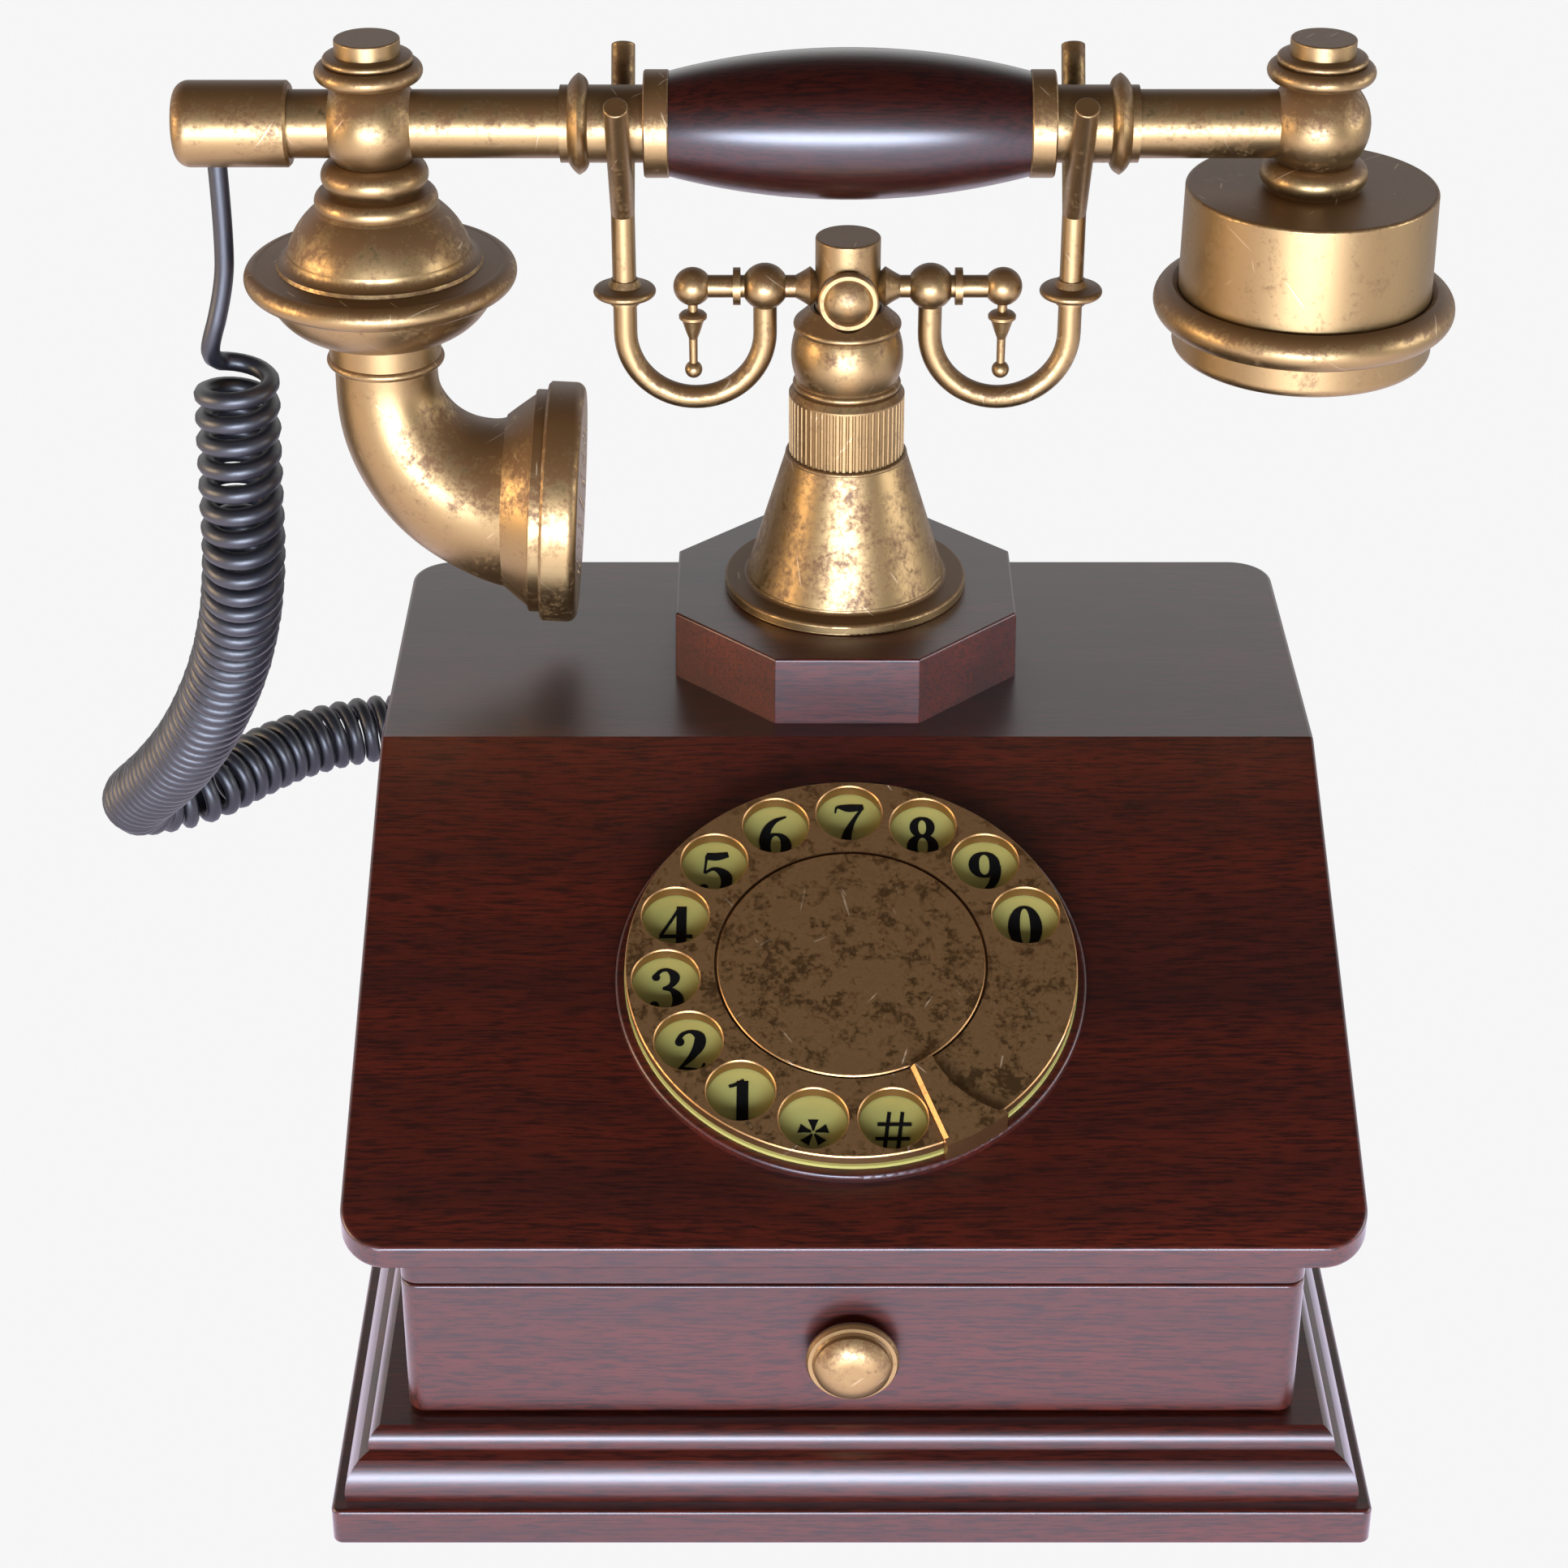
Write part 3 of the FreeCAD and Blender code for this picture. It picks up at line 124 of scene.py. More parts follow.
def carriedFrames(line, firstSide):
    # a side and an up direction at each point, carried along without twist
    frames = []
    side = firstSide
    for i, point in enumerate(line):
        ahead = line[min(i + 1, len(line) - 1)] - line[max(i - 1, 0)]
        ahead.normalize()
        side = (side - ahead * side.dot(ahead)).normalized()
        frames.append((side, ahead.cross(side), ahead))
    return frames


def roundTube(name, line, radius, sides):
    points = []
    faces = []
    frames = carriedFrames(line, Vector((0.1, 1.0, 0.2)))
    for centre, (side, up, ahead) in zip(line, frames):
        for k in range(sides):
            turn = 2 * math.pi * k / sides
            points.append(centre + radius * (math.cos(turn) * side + math.sin(turn) * up))
    for i in range(len(line) - 1):
        for k in range(sides):
            nextK = (k + 1) % sides
            a, b = i * sides, (i + 1) * sides
            faces.append((a + k, a + nextK, b + nextK, b + k))
    faces.append(tuple(reversed(range(sides))))
    last = (len(line) - 1) * sides
    faces.append(tuple(range(last, last + sides)))
    return addMesh(name, points, faces)


# cord: a plain lead, the curly length and a plain tail, made as one wire
cord = {
    "wire": 0.0039,
    "coil": 0.0178,
    "pitch": 0.0047,
    "topPitch": 0.0056,  # where the coil hangs free
    "topLength": 0.060,
    "openPitch": 0.0052,  # at the tight turn on the table
    "stepsPerTurn": 26,
    "step": 0.0016,
    "sides": 10,
    "startTurn": -9.0,  # degrees round the coil where the lead joins it
    "fine": 0.0004,  # step along the coil's middle line
    "lookAhead": 8,  # steps over which its bend is measured
    "tightest": 0.25,
    "clearance": 1.04,  # turns lie this many wires apart on the inside of a bend
    "spread": 0.8,
    "endLength": 0.0035,
    "endSpread": 1.2,
    "easePoints": 5,  # points each side of the two joints that are made gentle
    "easeSweeps": 24,
}
leadRoute = [
    (-0.1255, 0.0556, 0.22332), (-0.1252, 0.0556, 0.2070), (-0.1262, 0.0556, 0.1925),
    (-0.1309, 0.0547, 0.1788),
]
coilRoute = [
    (-0.1251, 0.0556, 0.1776), (-0.1261, 0.0552, 0.1530), (-0.1273, 0.0585, 0.1290),
    (-0.1333, 0.0730, 0.1030), (-0.1432, 0.0925, 0.0770), (-0.1542, 0.1138, 0.0540),
    (-0.1647, 0.1334, 0.0355), (-0.1720, 0.1468, 0.0238), (-0.1771, 0.1565, 0.0154),
    (-0.1762, 0.1627, 0.0113), (-0.1716, 0.1678, 0.0092), (-0.1624, 0.1723, 0.0090),
    (-0.1529, 0.1839, 0.0090), (-0.1404, 0.1973, 0.0090), (-0.1200, 0.2068, 0.0090),
    (-0.0960, 0.2072, 0.0090), (-0.0740, 0.1980, 0.0090), (-0.0570, 0.1800, 0.0090),
    (-0.0470, 0.1580, 0.0090), (-0.0425, 0.1360, 0.0105),
]
tailRoute = [
    (-0.0415, 0.0873, 0.0360), (-0.0415, 0.0983, 0.0360), (-0.0416, 0.1085, 0.0332),
    (-0.0419, 0.1176, 0.0282), (-0.0422, 0.1265, 0.0228), (-0.0425, 0.1356, 0.0176),
]


def coilSteps(middle):
    # how far the wire turns at each step along the coil's middle line, opened out where it bends
    radius = (cord["coil"] - cord["wire"]) / 2
    turns = []
    step = (middle[1] - middle[0]).length
    reach = cord["lookAhead"]
    for i in range(len(middle) - 1):
        ahead = middle[min(i + reach, len(middle) - 1)] - middle[i]
        behind = middle[i] - middle[max(i - reach, 0)]
        bend = 0.0
        if ahead.length > 0 and behind.length > 0:
            bend = ahead.angle(behind) / (0.5 * (ahead.length + behind.length))
        inner = max(cord["tightest"], 1 - radius * bend)
        hanging = max(0.0, 1 - i * step / cord["topLength"])
        loose = cord["pitch"] + (cord["topPitch"] - cord["pitch"]) * hanging
        tight = cord["wire"] * cord["clearance"] / inner ** cord["spread"]
        pitch = min(cord["openPitch"], max(loose, tight))
        fromEnd = min(i, len(middle) - 2 - i) * step
        pitch *= 1 + cord["endSpread"] * max(0.0, 1 - fromEnd / cord["endLength"])  # the ends are steeper
        turns.append(2 * math.pi * (middle[i + 1] - middle[i]).length / pitch)
    return turns


def woundWire():
    middle = evenSteps(splinePoints("coilLine", coilRoute), cord["fine"])
    frames = carriedFrames(middle, Vector((-1.0, 0.0, 0.0)))
    radius = (cord["coil"] - cord["wire"]) / 2
    turns = coilSteps(middle)
    angle = math.radians(cord["startTurn"])
    side, up, ahead = frames[-1]
    wanted = math.atan2(up.z, side.z) - angle  # where the coil's last turn points upwards
    total = sum(turns)
    whole = round((total - wanted) / (2 * math.pi))
    fit = (wanted + 2 * math.pi * whole) / total
    wire = []
    for i, turn in enumerate(turns):
        side, up, ahead = frames[i]
        pieces = max(1, math.ceil(turn * fit / (2 * math.pi / cord["stepsPerTurn"])))
        for k in range(pieces):
            here = angle + turn * fit * k / pieces
            centre = middle[i].lerp(middle[i + 1], k / pieces)
            wire.append(centre + radius * (math.cos(here) * side + math.sin(here) * up))
        angle += turn * fit
    return wire


def eased(line, corner):
    # the same line with the bend near a point made gentle
    at = min(range(len(line)), key=lambda i: (line[i] - corner).length)
    reach = cord["easePoints"]
    for sweep in range(cord["easeSweeps"]):
        for i in range(max(1, at - reach), min(len(line) - 1, at + reach)):
            line[i] = (line[i - 1] + line[i] * 2 + line[i + 1]) / 4
    return line


leadLine = splinePoints("leadLine", leadRoute)
tailLine = list(reversed(splinePoints("tailLine", tailRoute)))
coilWire = woundWire()
wireLine = evenSteps(leadLine[:-2] + coilWire + tailLine[2:], cord["step"])
wireLine = eased(wireLine, coilWire[0])
wireLine = eased(wireLine, coilWire[-1])
curlyCord = roundTube("curlyCord", wireLine, cord["wire"] / 2, cord["sides"])
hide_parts("cord_lead", "cord_coil", "cord_tail")
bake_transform(curlyCord)


# dial figures, printed on the number plate
figures = {
    "height": 0.0103,
    "weight": 1.2,  # how heavy the strokes are
    "drop": 0.0009,  # how far below the hole's middle a figure stands
    "circle": 0.03575,
    "first": 72.0,  # degrees clockwise from the top
    "pitch": 24.0,
    "level": 0.00292,
    "thickness": 0.00006,
    "strokeLift": 0.00001,  # so that crossing strokes don't share a surface
    "width": 0.68,  # of a figure that is 1 high
    "ringSteps": 24,
}


def ringStroke(x, y, halfWidth, halfHeight, thick, thin):
    stroke = []
    steps = figures["ringSteps"]
    for k in range(steps + 1):
        turn = 2 * math.pi * k / steps
        across = abs(math.cos(turn)) ** 1.5
        stroke.append((x + halfWidth * math.cos(turn), y + halfHeight * math.sin(turn),
                       thin + (thick - thin) * across))
    return stroke


def dot(x, y, radius):
    return ringStroke(x, y, radius / 2, radius / 2, radius, radius)


def turnedOver(strokes):
    # the same strokes turned by half a turn about the figure's middle
    return [[(figures["width"] - x, 1.0 - y, width) for x, y, width in stroke] for stroke in strokes]


sixStrokes = [
    ringStroke(0.34, 0.30, 0.20, 0.27, 0.17, 0.05),
    [(0.12, 0.32, 0.16), (0.13, 0.52, 0.16), (0.20, 0.74, 0.13), (0.34, 0.90, 0.08), (0.54, 0.99, 0.03)],
]
figureStrokes = {
    "0": [ringStroke(0.34, 0.50, 0.21, 0.46, 0.19, 0.05)],
    "1": [
        [(0.37, 0.03, 0.18), (0.37, 0.50, 0.18), (0.37, 0.96, 0.18)],
        [(0.12, 0.84, 0.05), (0.24, 0.88, 0.06), (0.40, 0.97, 0.07)],
        [(0.12, 0.025, 0.05), (0.37, 0.03, 0.06), (0.62, 0.025, 0.05)],
    ],
    "2": [
        [(0.14, 0.72, 0.10), (0.20, 0.88, 0.07), (0.36, 0.96, 0.06), (0.53, 0.86, 0.16), (0.53, 0.66, 0.18),
         (0.40, 0.42, 0.11), (0.22, 0.20, 0.05), (0.10, 0.06, 0.04)],
        [(0.10, 0.07, 0.04), (0.24, 0.10, 0.14), (0.44, 0.07, 0.17), (0.58, 0.12, 0.08), (0.63, 0.28, 0.03)],
        dot(0.17, 0.73, 0.08),
    ],
    "3": [
        [(0.14, 0.82, 0.08), (0.24, 0.94, 0.06), (0.38, 0.95, 0.07), (0.50, 0.80, 0.16), (0.44, 0.62, 0.09),
         (0.28, 0.54, 0.04)],
        [(0.28, 0.54, 0.04), (0.46, 0.50, 0.09), (0.57, 0.29, 0.18), (0.46, 0.08, 0.09), (0.28, 0.03, 0.06),
         (0.12, 0.14, 0.08)],
        dot(0.15, 0.79, 0.07),
        dot(0.13, 0.17, 0.08),
    ],
    "4": [
        [(0.45, 0.03, 0.16), (0.45, 0.50, 0.16), (0.45, 0.97, 0.16)],
        [(0.42, 0.96, 0.05), (0.24, 0.62, 0.05), (0.06, 0.30, 0.05)],
        [(0.04, 0.29, 0.07), (0.34, 0.29, 0.07), (0.66, 0.29, 0.07)],
        [(0.27, 0.025, 0.05), (0.45, 0.03, 0.05), (0.63, 0.025, 0.05)],
    ],
    "5": [
        [(0.18, 0.90, 0.13), (0.38, 0.89, 0.15), (0.60, 0.94, 0.10)],
        [(0.19, 0.92, 0.05), (0.17, 0.72, 0.04), (0.15, 0.50, 0.04)],
        [(0.15, 0.50, 0.04), (0.34, 0.60, 0.07), (0.55, 0.44, 0.18), (0.54, 0.18, 0.15), (0.34, 0.03, 0.06),
         (0.13, 0.13, 0.08)],
        dot(0.14, 0.16, 0.08),
    ],
    "6": sixStrokes,
    "7": [
        [(0.08, 0.78, 0.03), (0.12, 0.92, 0.05), (0.34, 0.90, 0.15), (0.62, 0.92, 0.11)],
        [(0.62, 0.92, 0.04), (0.44, 0.62, 0.07), (0.31, 0.30, 0.14), (0.28, 0.03, 0.18)],
    ],
    "8": [
        ringStroke(0.34, 0.74, 0.16, 0.21, 0.14, 0.06),
        ringStroke(0.34, 0.28, 0.20, 0.25, 0.17, 0.06),
    ],
    "9": turnedOver(sixStrokes),
    "star": [
        [(0.34 + 0.04 * math.sin(k * 2 * math.pi / 5), 0.45 + 0.04 * math.cos(k * 2 * math.pi / 5), 0.03),
         (0.34 + 0.15 * math.sin(k * 2 * math.pi / 5), 0.45 + 0.15 * math.cos(k * 2 * math.pi / 5), 0.08),
         (0.34 + 0.27 * math.sin(k * 2 * math.pi / 5), 0.45 + 0.27 * math.cos(k * 2 * math.pi / 5), 0.16)]
        for k in range(5)
    ],
    "hash": [
        [(0.18, 0.08, 0.06), (0.23, 0.48, 0.06), (0.28, 0.88, 0.06)],
        [(0.42, 0.08, 0.06), (0.47, 0.48, 0.06), (0.52, 0.88, 0.06)],
        [(0.02, 0.32, 0.06), (0.33, 0.32, 0.06), (0.64, 0.32, 0.06)],
        [(0.06, 0.62, 0.06), (0.36, 0.62, 0.06), (0.68, 0.62, 0.06)],
    ],
}


def isRing(stroke):
    return len(stroke) > figures["ringSteps"]


def smoothStroke(stroke):
    # a curve through the stroke's points, with the width eased along it
    if isRing(stroke):
        return stroke
    result = []
    for i in range(len(stroke) - 1):
        before = stroke[max(i - 1, 0)]
        after = stroke[min(i + 2, len(stroke) - 1)]
        for k in range(6):
            t = k / 6
            result.append(tuple(
                0.5 * (2 * stroke[i][n] + (stroke[i + 1][n] - before[n]) * t
                       + (2 * before[n] - 5 * stroke[i][n] + 4 * stroke[i + 1][n] - after[n]) * t ** 2
                       + (3 * stroke[i][n] - before[n] - 3 * stroke[i + 1][n] + after[n]) * t ** 3)
                for n in range(3)))
    result.append(stroke[-1])
    return result


dialJoint = next(j for j in frame["record"]["behaviour"]["joints"] if j["name"] == "dial_turn")
dialCentre = Vector(dialJoint["pos_m"])
dialNormal = -Vector(dialJoint["axis"]).normalized()
dialUp = dialNormal.cross(Vector((1, 0, 0))).normalized()


def onDial(x, y, level):
    return dialCentre + Vector((1, 0, 0)) * x + dialUp * y + dialNormal * level


def figurePiece(name, strokes, angle):
    turn = math.radians(angle)
    scale = figures["height"]
    startX = figures["circle"] * math.sin(turn) - figures["width"] / 2 * scale
    startY = figures["circle"] * math.cos(turn) - scale / 2 - figures["drop"]
    points = []
    faces = []
    for number, stroke in enumerate(strokes):
        line = smoothStroke(stroke)
        first = len(points)
        lift = number * figures["strokeLift"]
        for i, (x, y, width) in enumerate(line):
            ahead = Vector(line[min(i + 1, len(line) - 1)][:2]) - Vector(line[max(i - 1, 0)][:2])
            if isRing(stroke) and i in (0, len(line) - 1):
                ahead = Vector(line[1][:2]) - Vector(line[-2][:2])
            across = Vector((-ahead.y, ahead.x)).normalized() * width * figures["weight"] / 2
            for sign, level in ((1, 0), (-1, 0), (-1, 1), (1, 1)):
                points.append(onDial(startX + (x + sign * across.x) * scale,
                                     startY + (y + sign * across.y) * scale,
                                     figures["level"] + level * (figures["thickness"] + lift)))
        for i in range(len(line) - 1):
            a = first + 4 * i
            for k in range(4):
                n = (k + 1) % 4
                faces.append((a + k, a + 4 + k, a + 4 + n, a + n))
        faces.append((first, first + 1, first + 2, first + 3))
        end = first + 4 * (len(line) - 1)
        faces.append((end + 3, end + 2, end + 1, end))
    piece = addMesh(name, points, faces, smooth=False)
    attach(piece, "base")
    return piece


figureOrder = ["0", "9", "8", "7", "6", "5", "4", "3", "2", "1", "star", "hash"]
figurePieces = [figurePiece("figure_" + label, figureStrokes[label], figures["first"] - figures["pitch"] * k)
                for k, label in enumerate(figureOrder)]
print("dial figures made")


# node groups shared by the materials
def newGroup(name, inputs, outputs):
    group = bpy.data.node_groups.new(name, "ShaderNodeTree")
    for label, kind, value in inputs:
        socket = group.interface.new_socket(label, in_out="INPUT", socket_type=kind)
        socket.default_value = value
    for label, kind in outputs:
        group.interface.new_socket(label, in_out="OUTPUT", socket_type=kind)
    return group, group.nodes.new("NodeGroupInput"), group.nodes.new("NodeGroupOutput")


def put(tree, kind, settings=None, **links):
    # a node with its settings, and its inputs given as values or as sockets to link
    node = tree.nodes.new(kind)
    for key, value in (settings or {}).items():
        setattr(node, key, value)
    for key, value in links.items():
        socket = node.inputs[int(key[1:])] if key[0] == "i" and key[1:].isdigit() else node.inputs[key]
        if isinstance(value, bpy.types.NodeSocket):
            tree.links.new(value, socket)
        else:
            socket.default_value = value
    return node


def ramp(tree, source, stops):
    node = tree.nodes.new("ShaderNodeValToRGB")
    while len(node.color_ramp.elements) < len(stops):
        node.color_ramp.elements.new(0.5)
    for element, (place, value) in zip(node.color_ramp.elements, stops):
        element.position = place
        element.color = (value, value, value, 1) if isinstance(value, (int, float)) else (*value, 1)
    tree.links.new(source, node.inputs[0])
    return node.outputs[0]


def mixColour(tree, share, first, second, mode="MIX"):
    settings = {"data_type": "RGBA", "blend_type": mode}
    return put(tree, "ShaderNodeMix", settings, i0=share, i6=first, i7=second).outputs[2]


def mixValue(tree, share, first, second):
    return put(tree, "ShaderNodeMix", {"data_type": "FLOAT"}, i0=share, i2=first, i3=second).outputs[0]


def maths(tree, operation, first, second=0.0, third=0.0):
    return put(tree, "ShaderNodeMath", {"operation": operation}, i0=first, i1=second, i2=third).outputs[0]


grain = {
    "sway": 9.0,  # how often the grain wanders
    "swayReach": (0.0, 0.008, 0.008),  # how far, in metres
    "bands": (5.0, 80.0, 80.0),  # broad dark and light bands, per metre along and across the grain
    "pores": (130.0, 1900.0, 1900.0),
    "poreDepth": 0.80,
    "bandGloss": 0.10,  # how much rougher the dark bands are
}


def buildGrain():
    # wood grain that runs along X of the vector it is given, in metres
    group, start, end = newGroup(
        "woodGrain",
        [("Vector", "NodeSocketVector", (0, 0, 0)), ("Dark", "NodeSocketColor", (0.02, 0.004, 0.003, 1)),
         ("Light", "NodeSocketColor", (0.1, 0.02, 0.012, 1))],
        [("Color", "NodeSocketColor"), ("Height", "NodeSocketFloat"), ("Gloss", "NodeSocketFloat")])
    vector = start.outputs["Vector"]
    sway = put(group, "ShaderNodeTexNoise", None, Vector=vector, Scale=grain["sway"], Detail=2.0)
    swayed = put(group, "ShaderNodeVectorMath", {"operation": "MULTIPLY_ADD"}, i0=sway.outputs["Color"],
                 i1=grain["swayReach"], i2=vector)
    wide = put(group, "ShaderNodeVectorMath", {"operation": "MULTIPLY"}, i0=swayed.outputs[0],
               i1=grain["bands"])
    bands = put(group, "ShaderNodeTexNoise", None, Vector=wide.outputs[0], Scale=1.0, Detail=5.0,
                Roughness=0.6)
    fine = put(group, "ShaderNodeVectorMath", {"operation": "MULTIPLY"}, i0=swayed.outputs[0],
               i1=grain["pores"])
    pores = put(group, "ShaderNodeTexNoise", None, Vector=fine.outputs[0], Scale=1.0, Detail=3.0,
                Roughness=0.7)
    poreMask = ramp(group, pores.outputs[0], [(0.46, 0.0), (0.60, 1.0)])
    bandMask = ramp(group, bands.outputs[0], [(0.30, 0.35), (0.70, 1.0)])
    base = mixColour(group, bandMask, start.outputs["Dark"], start.outputs["Light"])
    poreShare = maths(group, "MULTIPLY", poreMask, grain["poreDepth"])
    group.links.new(mixColour(group, poreShare, base, start.outputs["Dark"]), end.inputs["Color"])
    group.links.new(maths(group, "SUBTRACT", 1.0, poreMask), end.inputs["Height"])
    group.links.new(mixValue(group, bandMask, grain["bandGloss"], 0.0), end.inputs["Gloss"])
    return group


# brass settings: real stains, specks and scratches, and painted shade on the faces that look up
patinaAndTopShade = {
    "cloud": 165.0,  # scales per metre: stains, specks and the metal's own fine grain
    "speck": 900.0,
    "grain": 2600.0,
    "speckShare": 0.30,
    "paintedTopShade": 0.25,  # painted shade: how much more of the dark stain colour the faces that look up get
    "stainRough": 0.18,
    "speckRough": 0.10,
    "stainMetal": 0.55,
    "scratchColour": (0.66, 0.50, 0.32, 1),
    "scratchWidth": (0.00004, 0.00013),  # core and faded edge, in metres
    "scratches": [(95.0, 0.0042, 0.26), (190.0, 0.0020, 0.20)],  # cells per metre, reach, share of cells
}


def scratchLayer(group, vector, scale, reach, share):
    # short straight scratches, one in some of the cells, each lying its own way
    cell = put(group, "ShaderNodeTexVoronoi", None, Vector=vector, Scale=scale)
    away = put(group, "ShaderNodeVectorMath", {"operation": "SUBTRACT"}, i0=vector,
               i1=cell.outputs["Position"])
    tilt = put(group, "ShaderNodeVectorMath", {"operation": "SUBTRACT"}, i0=cell.outputs["Color"],
               i1=(0.5, 0.5, 0.5))
    tilt = put(group, "ShaderNodeVectorMath", {"operation": "NORMALIZE"}, i0=tilt.outputs[0])
    side = put(group, "ShaderNodeVectorMath", {"operation": "DOT_PRODUCT"}, i0=away.outputs[0],
               i1=tilt.outputs[0])
    side = maths(group, "ABSOLUTE", side.outputs["Value"])
    core, edge = patinaAndTopShade["scratchWidth"]
    line = put(group, "ShaderNodeMapRange", None, i0=side, i1=core, i2=edge, i3=1.0, i4=0.0).outputs[0]
    far = put(group, "ShaderNodeVectorMath", {"operation": "LENGTH"}, i0=away.outputs[0]).outputs["Value"]
    near = put(group, "ShaderNodeMapRange", None, i0=far, i1=reach / 2, i2=reach, i3=1.0, i4=0.0).outputs[0]
    pick = put(group, "ShaderNodeSeparateXYZ", None, i0=cell.outputs["Color"]).outputs[0]
    chosen = maths(group, "LESS_THAN", pick, share)
    return maths(group, "MULTIPLY", maths(group, "MULTIPLY", line, near), chosen)


def buildPatinaAndTopShade():
    # stains, painted shade on the faces that look up, and fine scratches on old brass
    group, start, end = newGroup(
        "brassPatinaAndTopShade",
        [("Vector", "NodeSocketVector", (0, 0, 0)), ("Bright", "NodeSocketColor", (0.45, 0.30, 0.14, 1)),
         ("Stain", "NodeSocketColor", (0.12, 0.07, 0.03, 1)), ("Amount", "NodeSocketFloat", 0.5),
         ("Scratches", "NodeSocketFloat", 1.0), ("Polish", "NodeSocketFloat", 0.3)],
        [("Color", "NodeSocketColor"), ("Roughness", "NodeSocketFloat"), ("Metallic", "NodeSocketFloat"),
         ("Height", "NodeSocketFloat")])
    vector = start.outputs["Vector"]
    cloud = put(group, "ShaderNodeTexNoise", None, Vector=vector, Scale=patinaAndTopShade["cloud"], Detail=10.0,
                Roughness=0.78)
    speck = put(group, "ShaderNodeTexNoise", None, Vector=vector, Scale=patinaAndTopShade["speck"], Detail=4.0,
                Roughness=0.7)
    fine = put(group, "ShaderNodeTexNoise", None, Vector=vector, Scale=patinaAndTopShade["grain"], Detail=2.0,
               Roughness=0.6)
    together = mixValue(group, patinaAndTopShade["speckShare"], cloud.outputs[0], speck.outputs[0])
    normal = put(group, "ShaderNodeNewGeometry")
    split = put(group, "ShaderNodeSeparateXYZ", None, i0=normal.outputs["Normal"])
    # painted shade: faces that look up are pushed towards the dark stain colour
    paintedTopShade = maths(group, "MULTIPLY", maths(group, "MAXIMUM", split.outputs[2], 0.0), patinaAndTopShade["paintedTopShade"])
    level = maths(group, "ADD", maths(group, "ADD", together, paintedTopShade), start.outputs["Amount"])
    # mask of the real stains together with the painted top shade
    stainAndTopShade = ramp(group, level, [(0.51, 0.0), (0.64, 1.0)])
    long, short = [scratchLayer(group, vector, *layer) for layer in patinaAndTopShade["scratches"]]
    scratches = maths(group, "MULTIPLY", maths(group, "MAXIMUM", long, short), start.outputs["Scratches"])
    colour = mixColour(group, stainAndTopShade, start.outputs["Bright"], start.outputs["Stain"])
    colour = mixColour(group, scratches, colour, patinaAndTopShade["scratchColour"])
    rough = maths(group, "ADD", start.outputs["Polish"],
                  maths(group, "MULTIPLY", stainAndTopShade, patinaAndTopShade["stainRough"]))
    rough = maths(group, "ADD", rough, maths(group, "MULTIPLY", speck.outputs[0], patinaAndTopShade["speckRough"]))
    group.links.new(colour, end.inputs["Color"])
    group.links.new(rough, end.inputs["Roughness"])
    group.links.new(mixValue(group, stainAndTopShade, 1.0, patinaAndTopShade["stainMetal"]), end.inputs["Metallic"])
    group.links.new(maths(group, "ADD", fine.outputs[0], maths(group, "MULTIPLY", scratches, -1.0)),
                    end.inputs["Height"])
    return group


grainGroup = buildGrain()
patinaAndTopShadeGroup = buildPatinaAndTopShade()


# materials
def newMaterial(name):
    material = bpy.data.materials.new(name)
    material.use_nodes = True
    tree = material.node_tree
    tree.nodes.clear()
    shader = tree.nodes.new("ShaderNodeBsdfPrincipled")
    output = tree.nodes.new("ShaderNodeOutputMaterial")
    tree.links.new(shader.outputs[0], output.inputs[0])
    return material, tree, shader


def bumpTo(tree, shader, height, strength, distance):
    bump = put(tree, "ShaderNodeBump", None, Strength=strength, Distance=distance, Height=height)
    tree.links.new(bump.outputs[0], shader.inputs["Normal"])


mahogany = {
    "dark": (0.0080, 0.0011, 0.0006, 1),
    "light": (0.068, 0.0078, 0.0026, 1),
    "coatWeight": 1.0,
    "coatRoughness": 0.31,
    "roughness": 0.42,
    "specular": 0.15,
    "bump": 0.06,
    "bumpDepth": 0.0002,
}


def shaded(colour, share):
    return (colour[0] * share, colour[1] * share, colour[2] * share, 1)


def mahoganyMaterial(name, turn, seed, coatRoughness=None, shade=1.0):
    # turn is the rotation that brings the grain from X to the piece's long side
    material, tree, shader = newMaterial(name)
    place = put(tree, "ShaderNodeTexCoord")
    mapped = put(tree, "ShaderNodeMapping", None, Vector=place.outputs["Object"],
                 Location=(seed, seed * 0.7, seed * 0.3), Rotation=turn)
    wood = put(tree, "ShaderNodeGroup", {"node_tree": grainGroup}, Vector=mapped.outputs[0],
               Dark=shaded(mahogany["dark"], shade), Light=shaded(mahogany["light"], shade))
    tree.links.new(wood.outputs["Color"], shader.inputs["Base Color"])
    rough = maths(tree, "ADD", wood.outputs["Gloss"], mahogany["roughness"])
    tree.links.new(rough, shader.inputs["Roughness"])
    shader.inputs["Coat Weight"].default_value = mahogany["coatWeight"]
    shader.inputs["Coat Roughness"].default_value = coatRoughness or mahogany["coatRoughness"]
    shader.inputs["Coat IOR"].default_value = 1.5
    shader.inputs["Specular IOR Level"].default_value = mahogany["specular"]
    bumpTo(tree, shader, wood.outputs["Height"], mahogany["bump"], mahogany["bumpDepth"])
    return material


brass = {
    "bright": (0.325, 0.212, 0.090, 1),
    "stain": (0.130, 0.062, 0.018, 1),
    "amount": -0.02,
    "polish": 0.33,
    "scratches": 0.5,
    "coat": 0.18,
    "coatRoughness": 0.32,
    "bump": 0.10,
    "bumpDepth": 0.00012,
}
dialBrass = {
    "bright": (0.380, 0.205, 0.080, 1),
    "stain": (0.150, 0.074, 0.025, 1),
    "amount": -0.16,
    "polish": 0.34,
    "scratches": 0.9,
    "coat": 0.08,
    "coatRoughness": 0.32,
    "bump": 0.10,
    "bumpDepth": 0.00012,
}


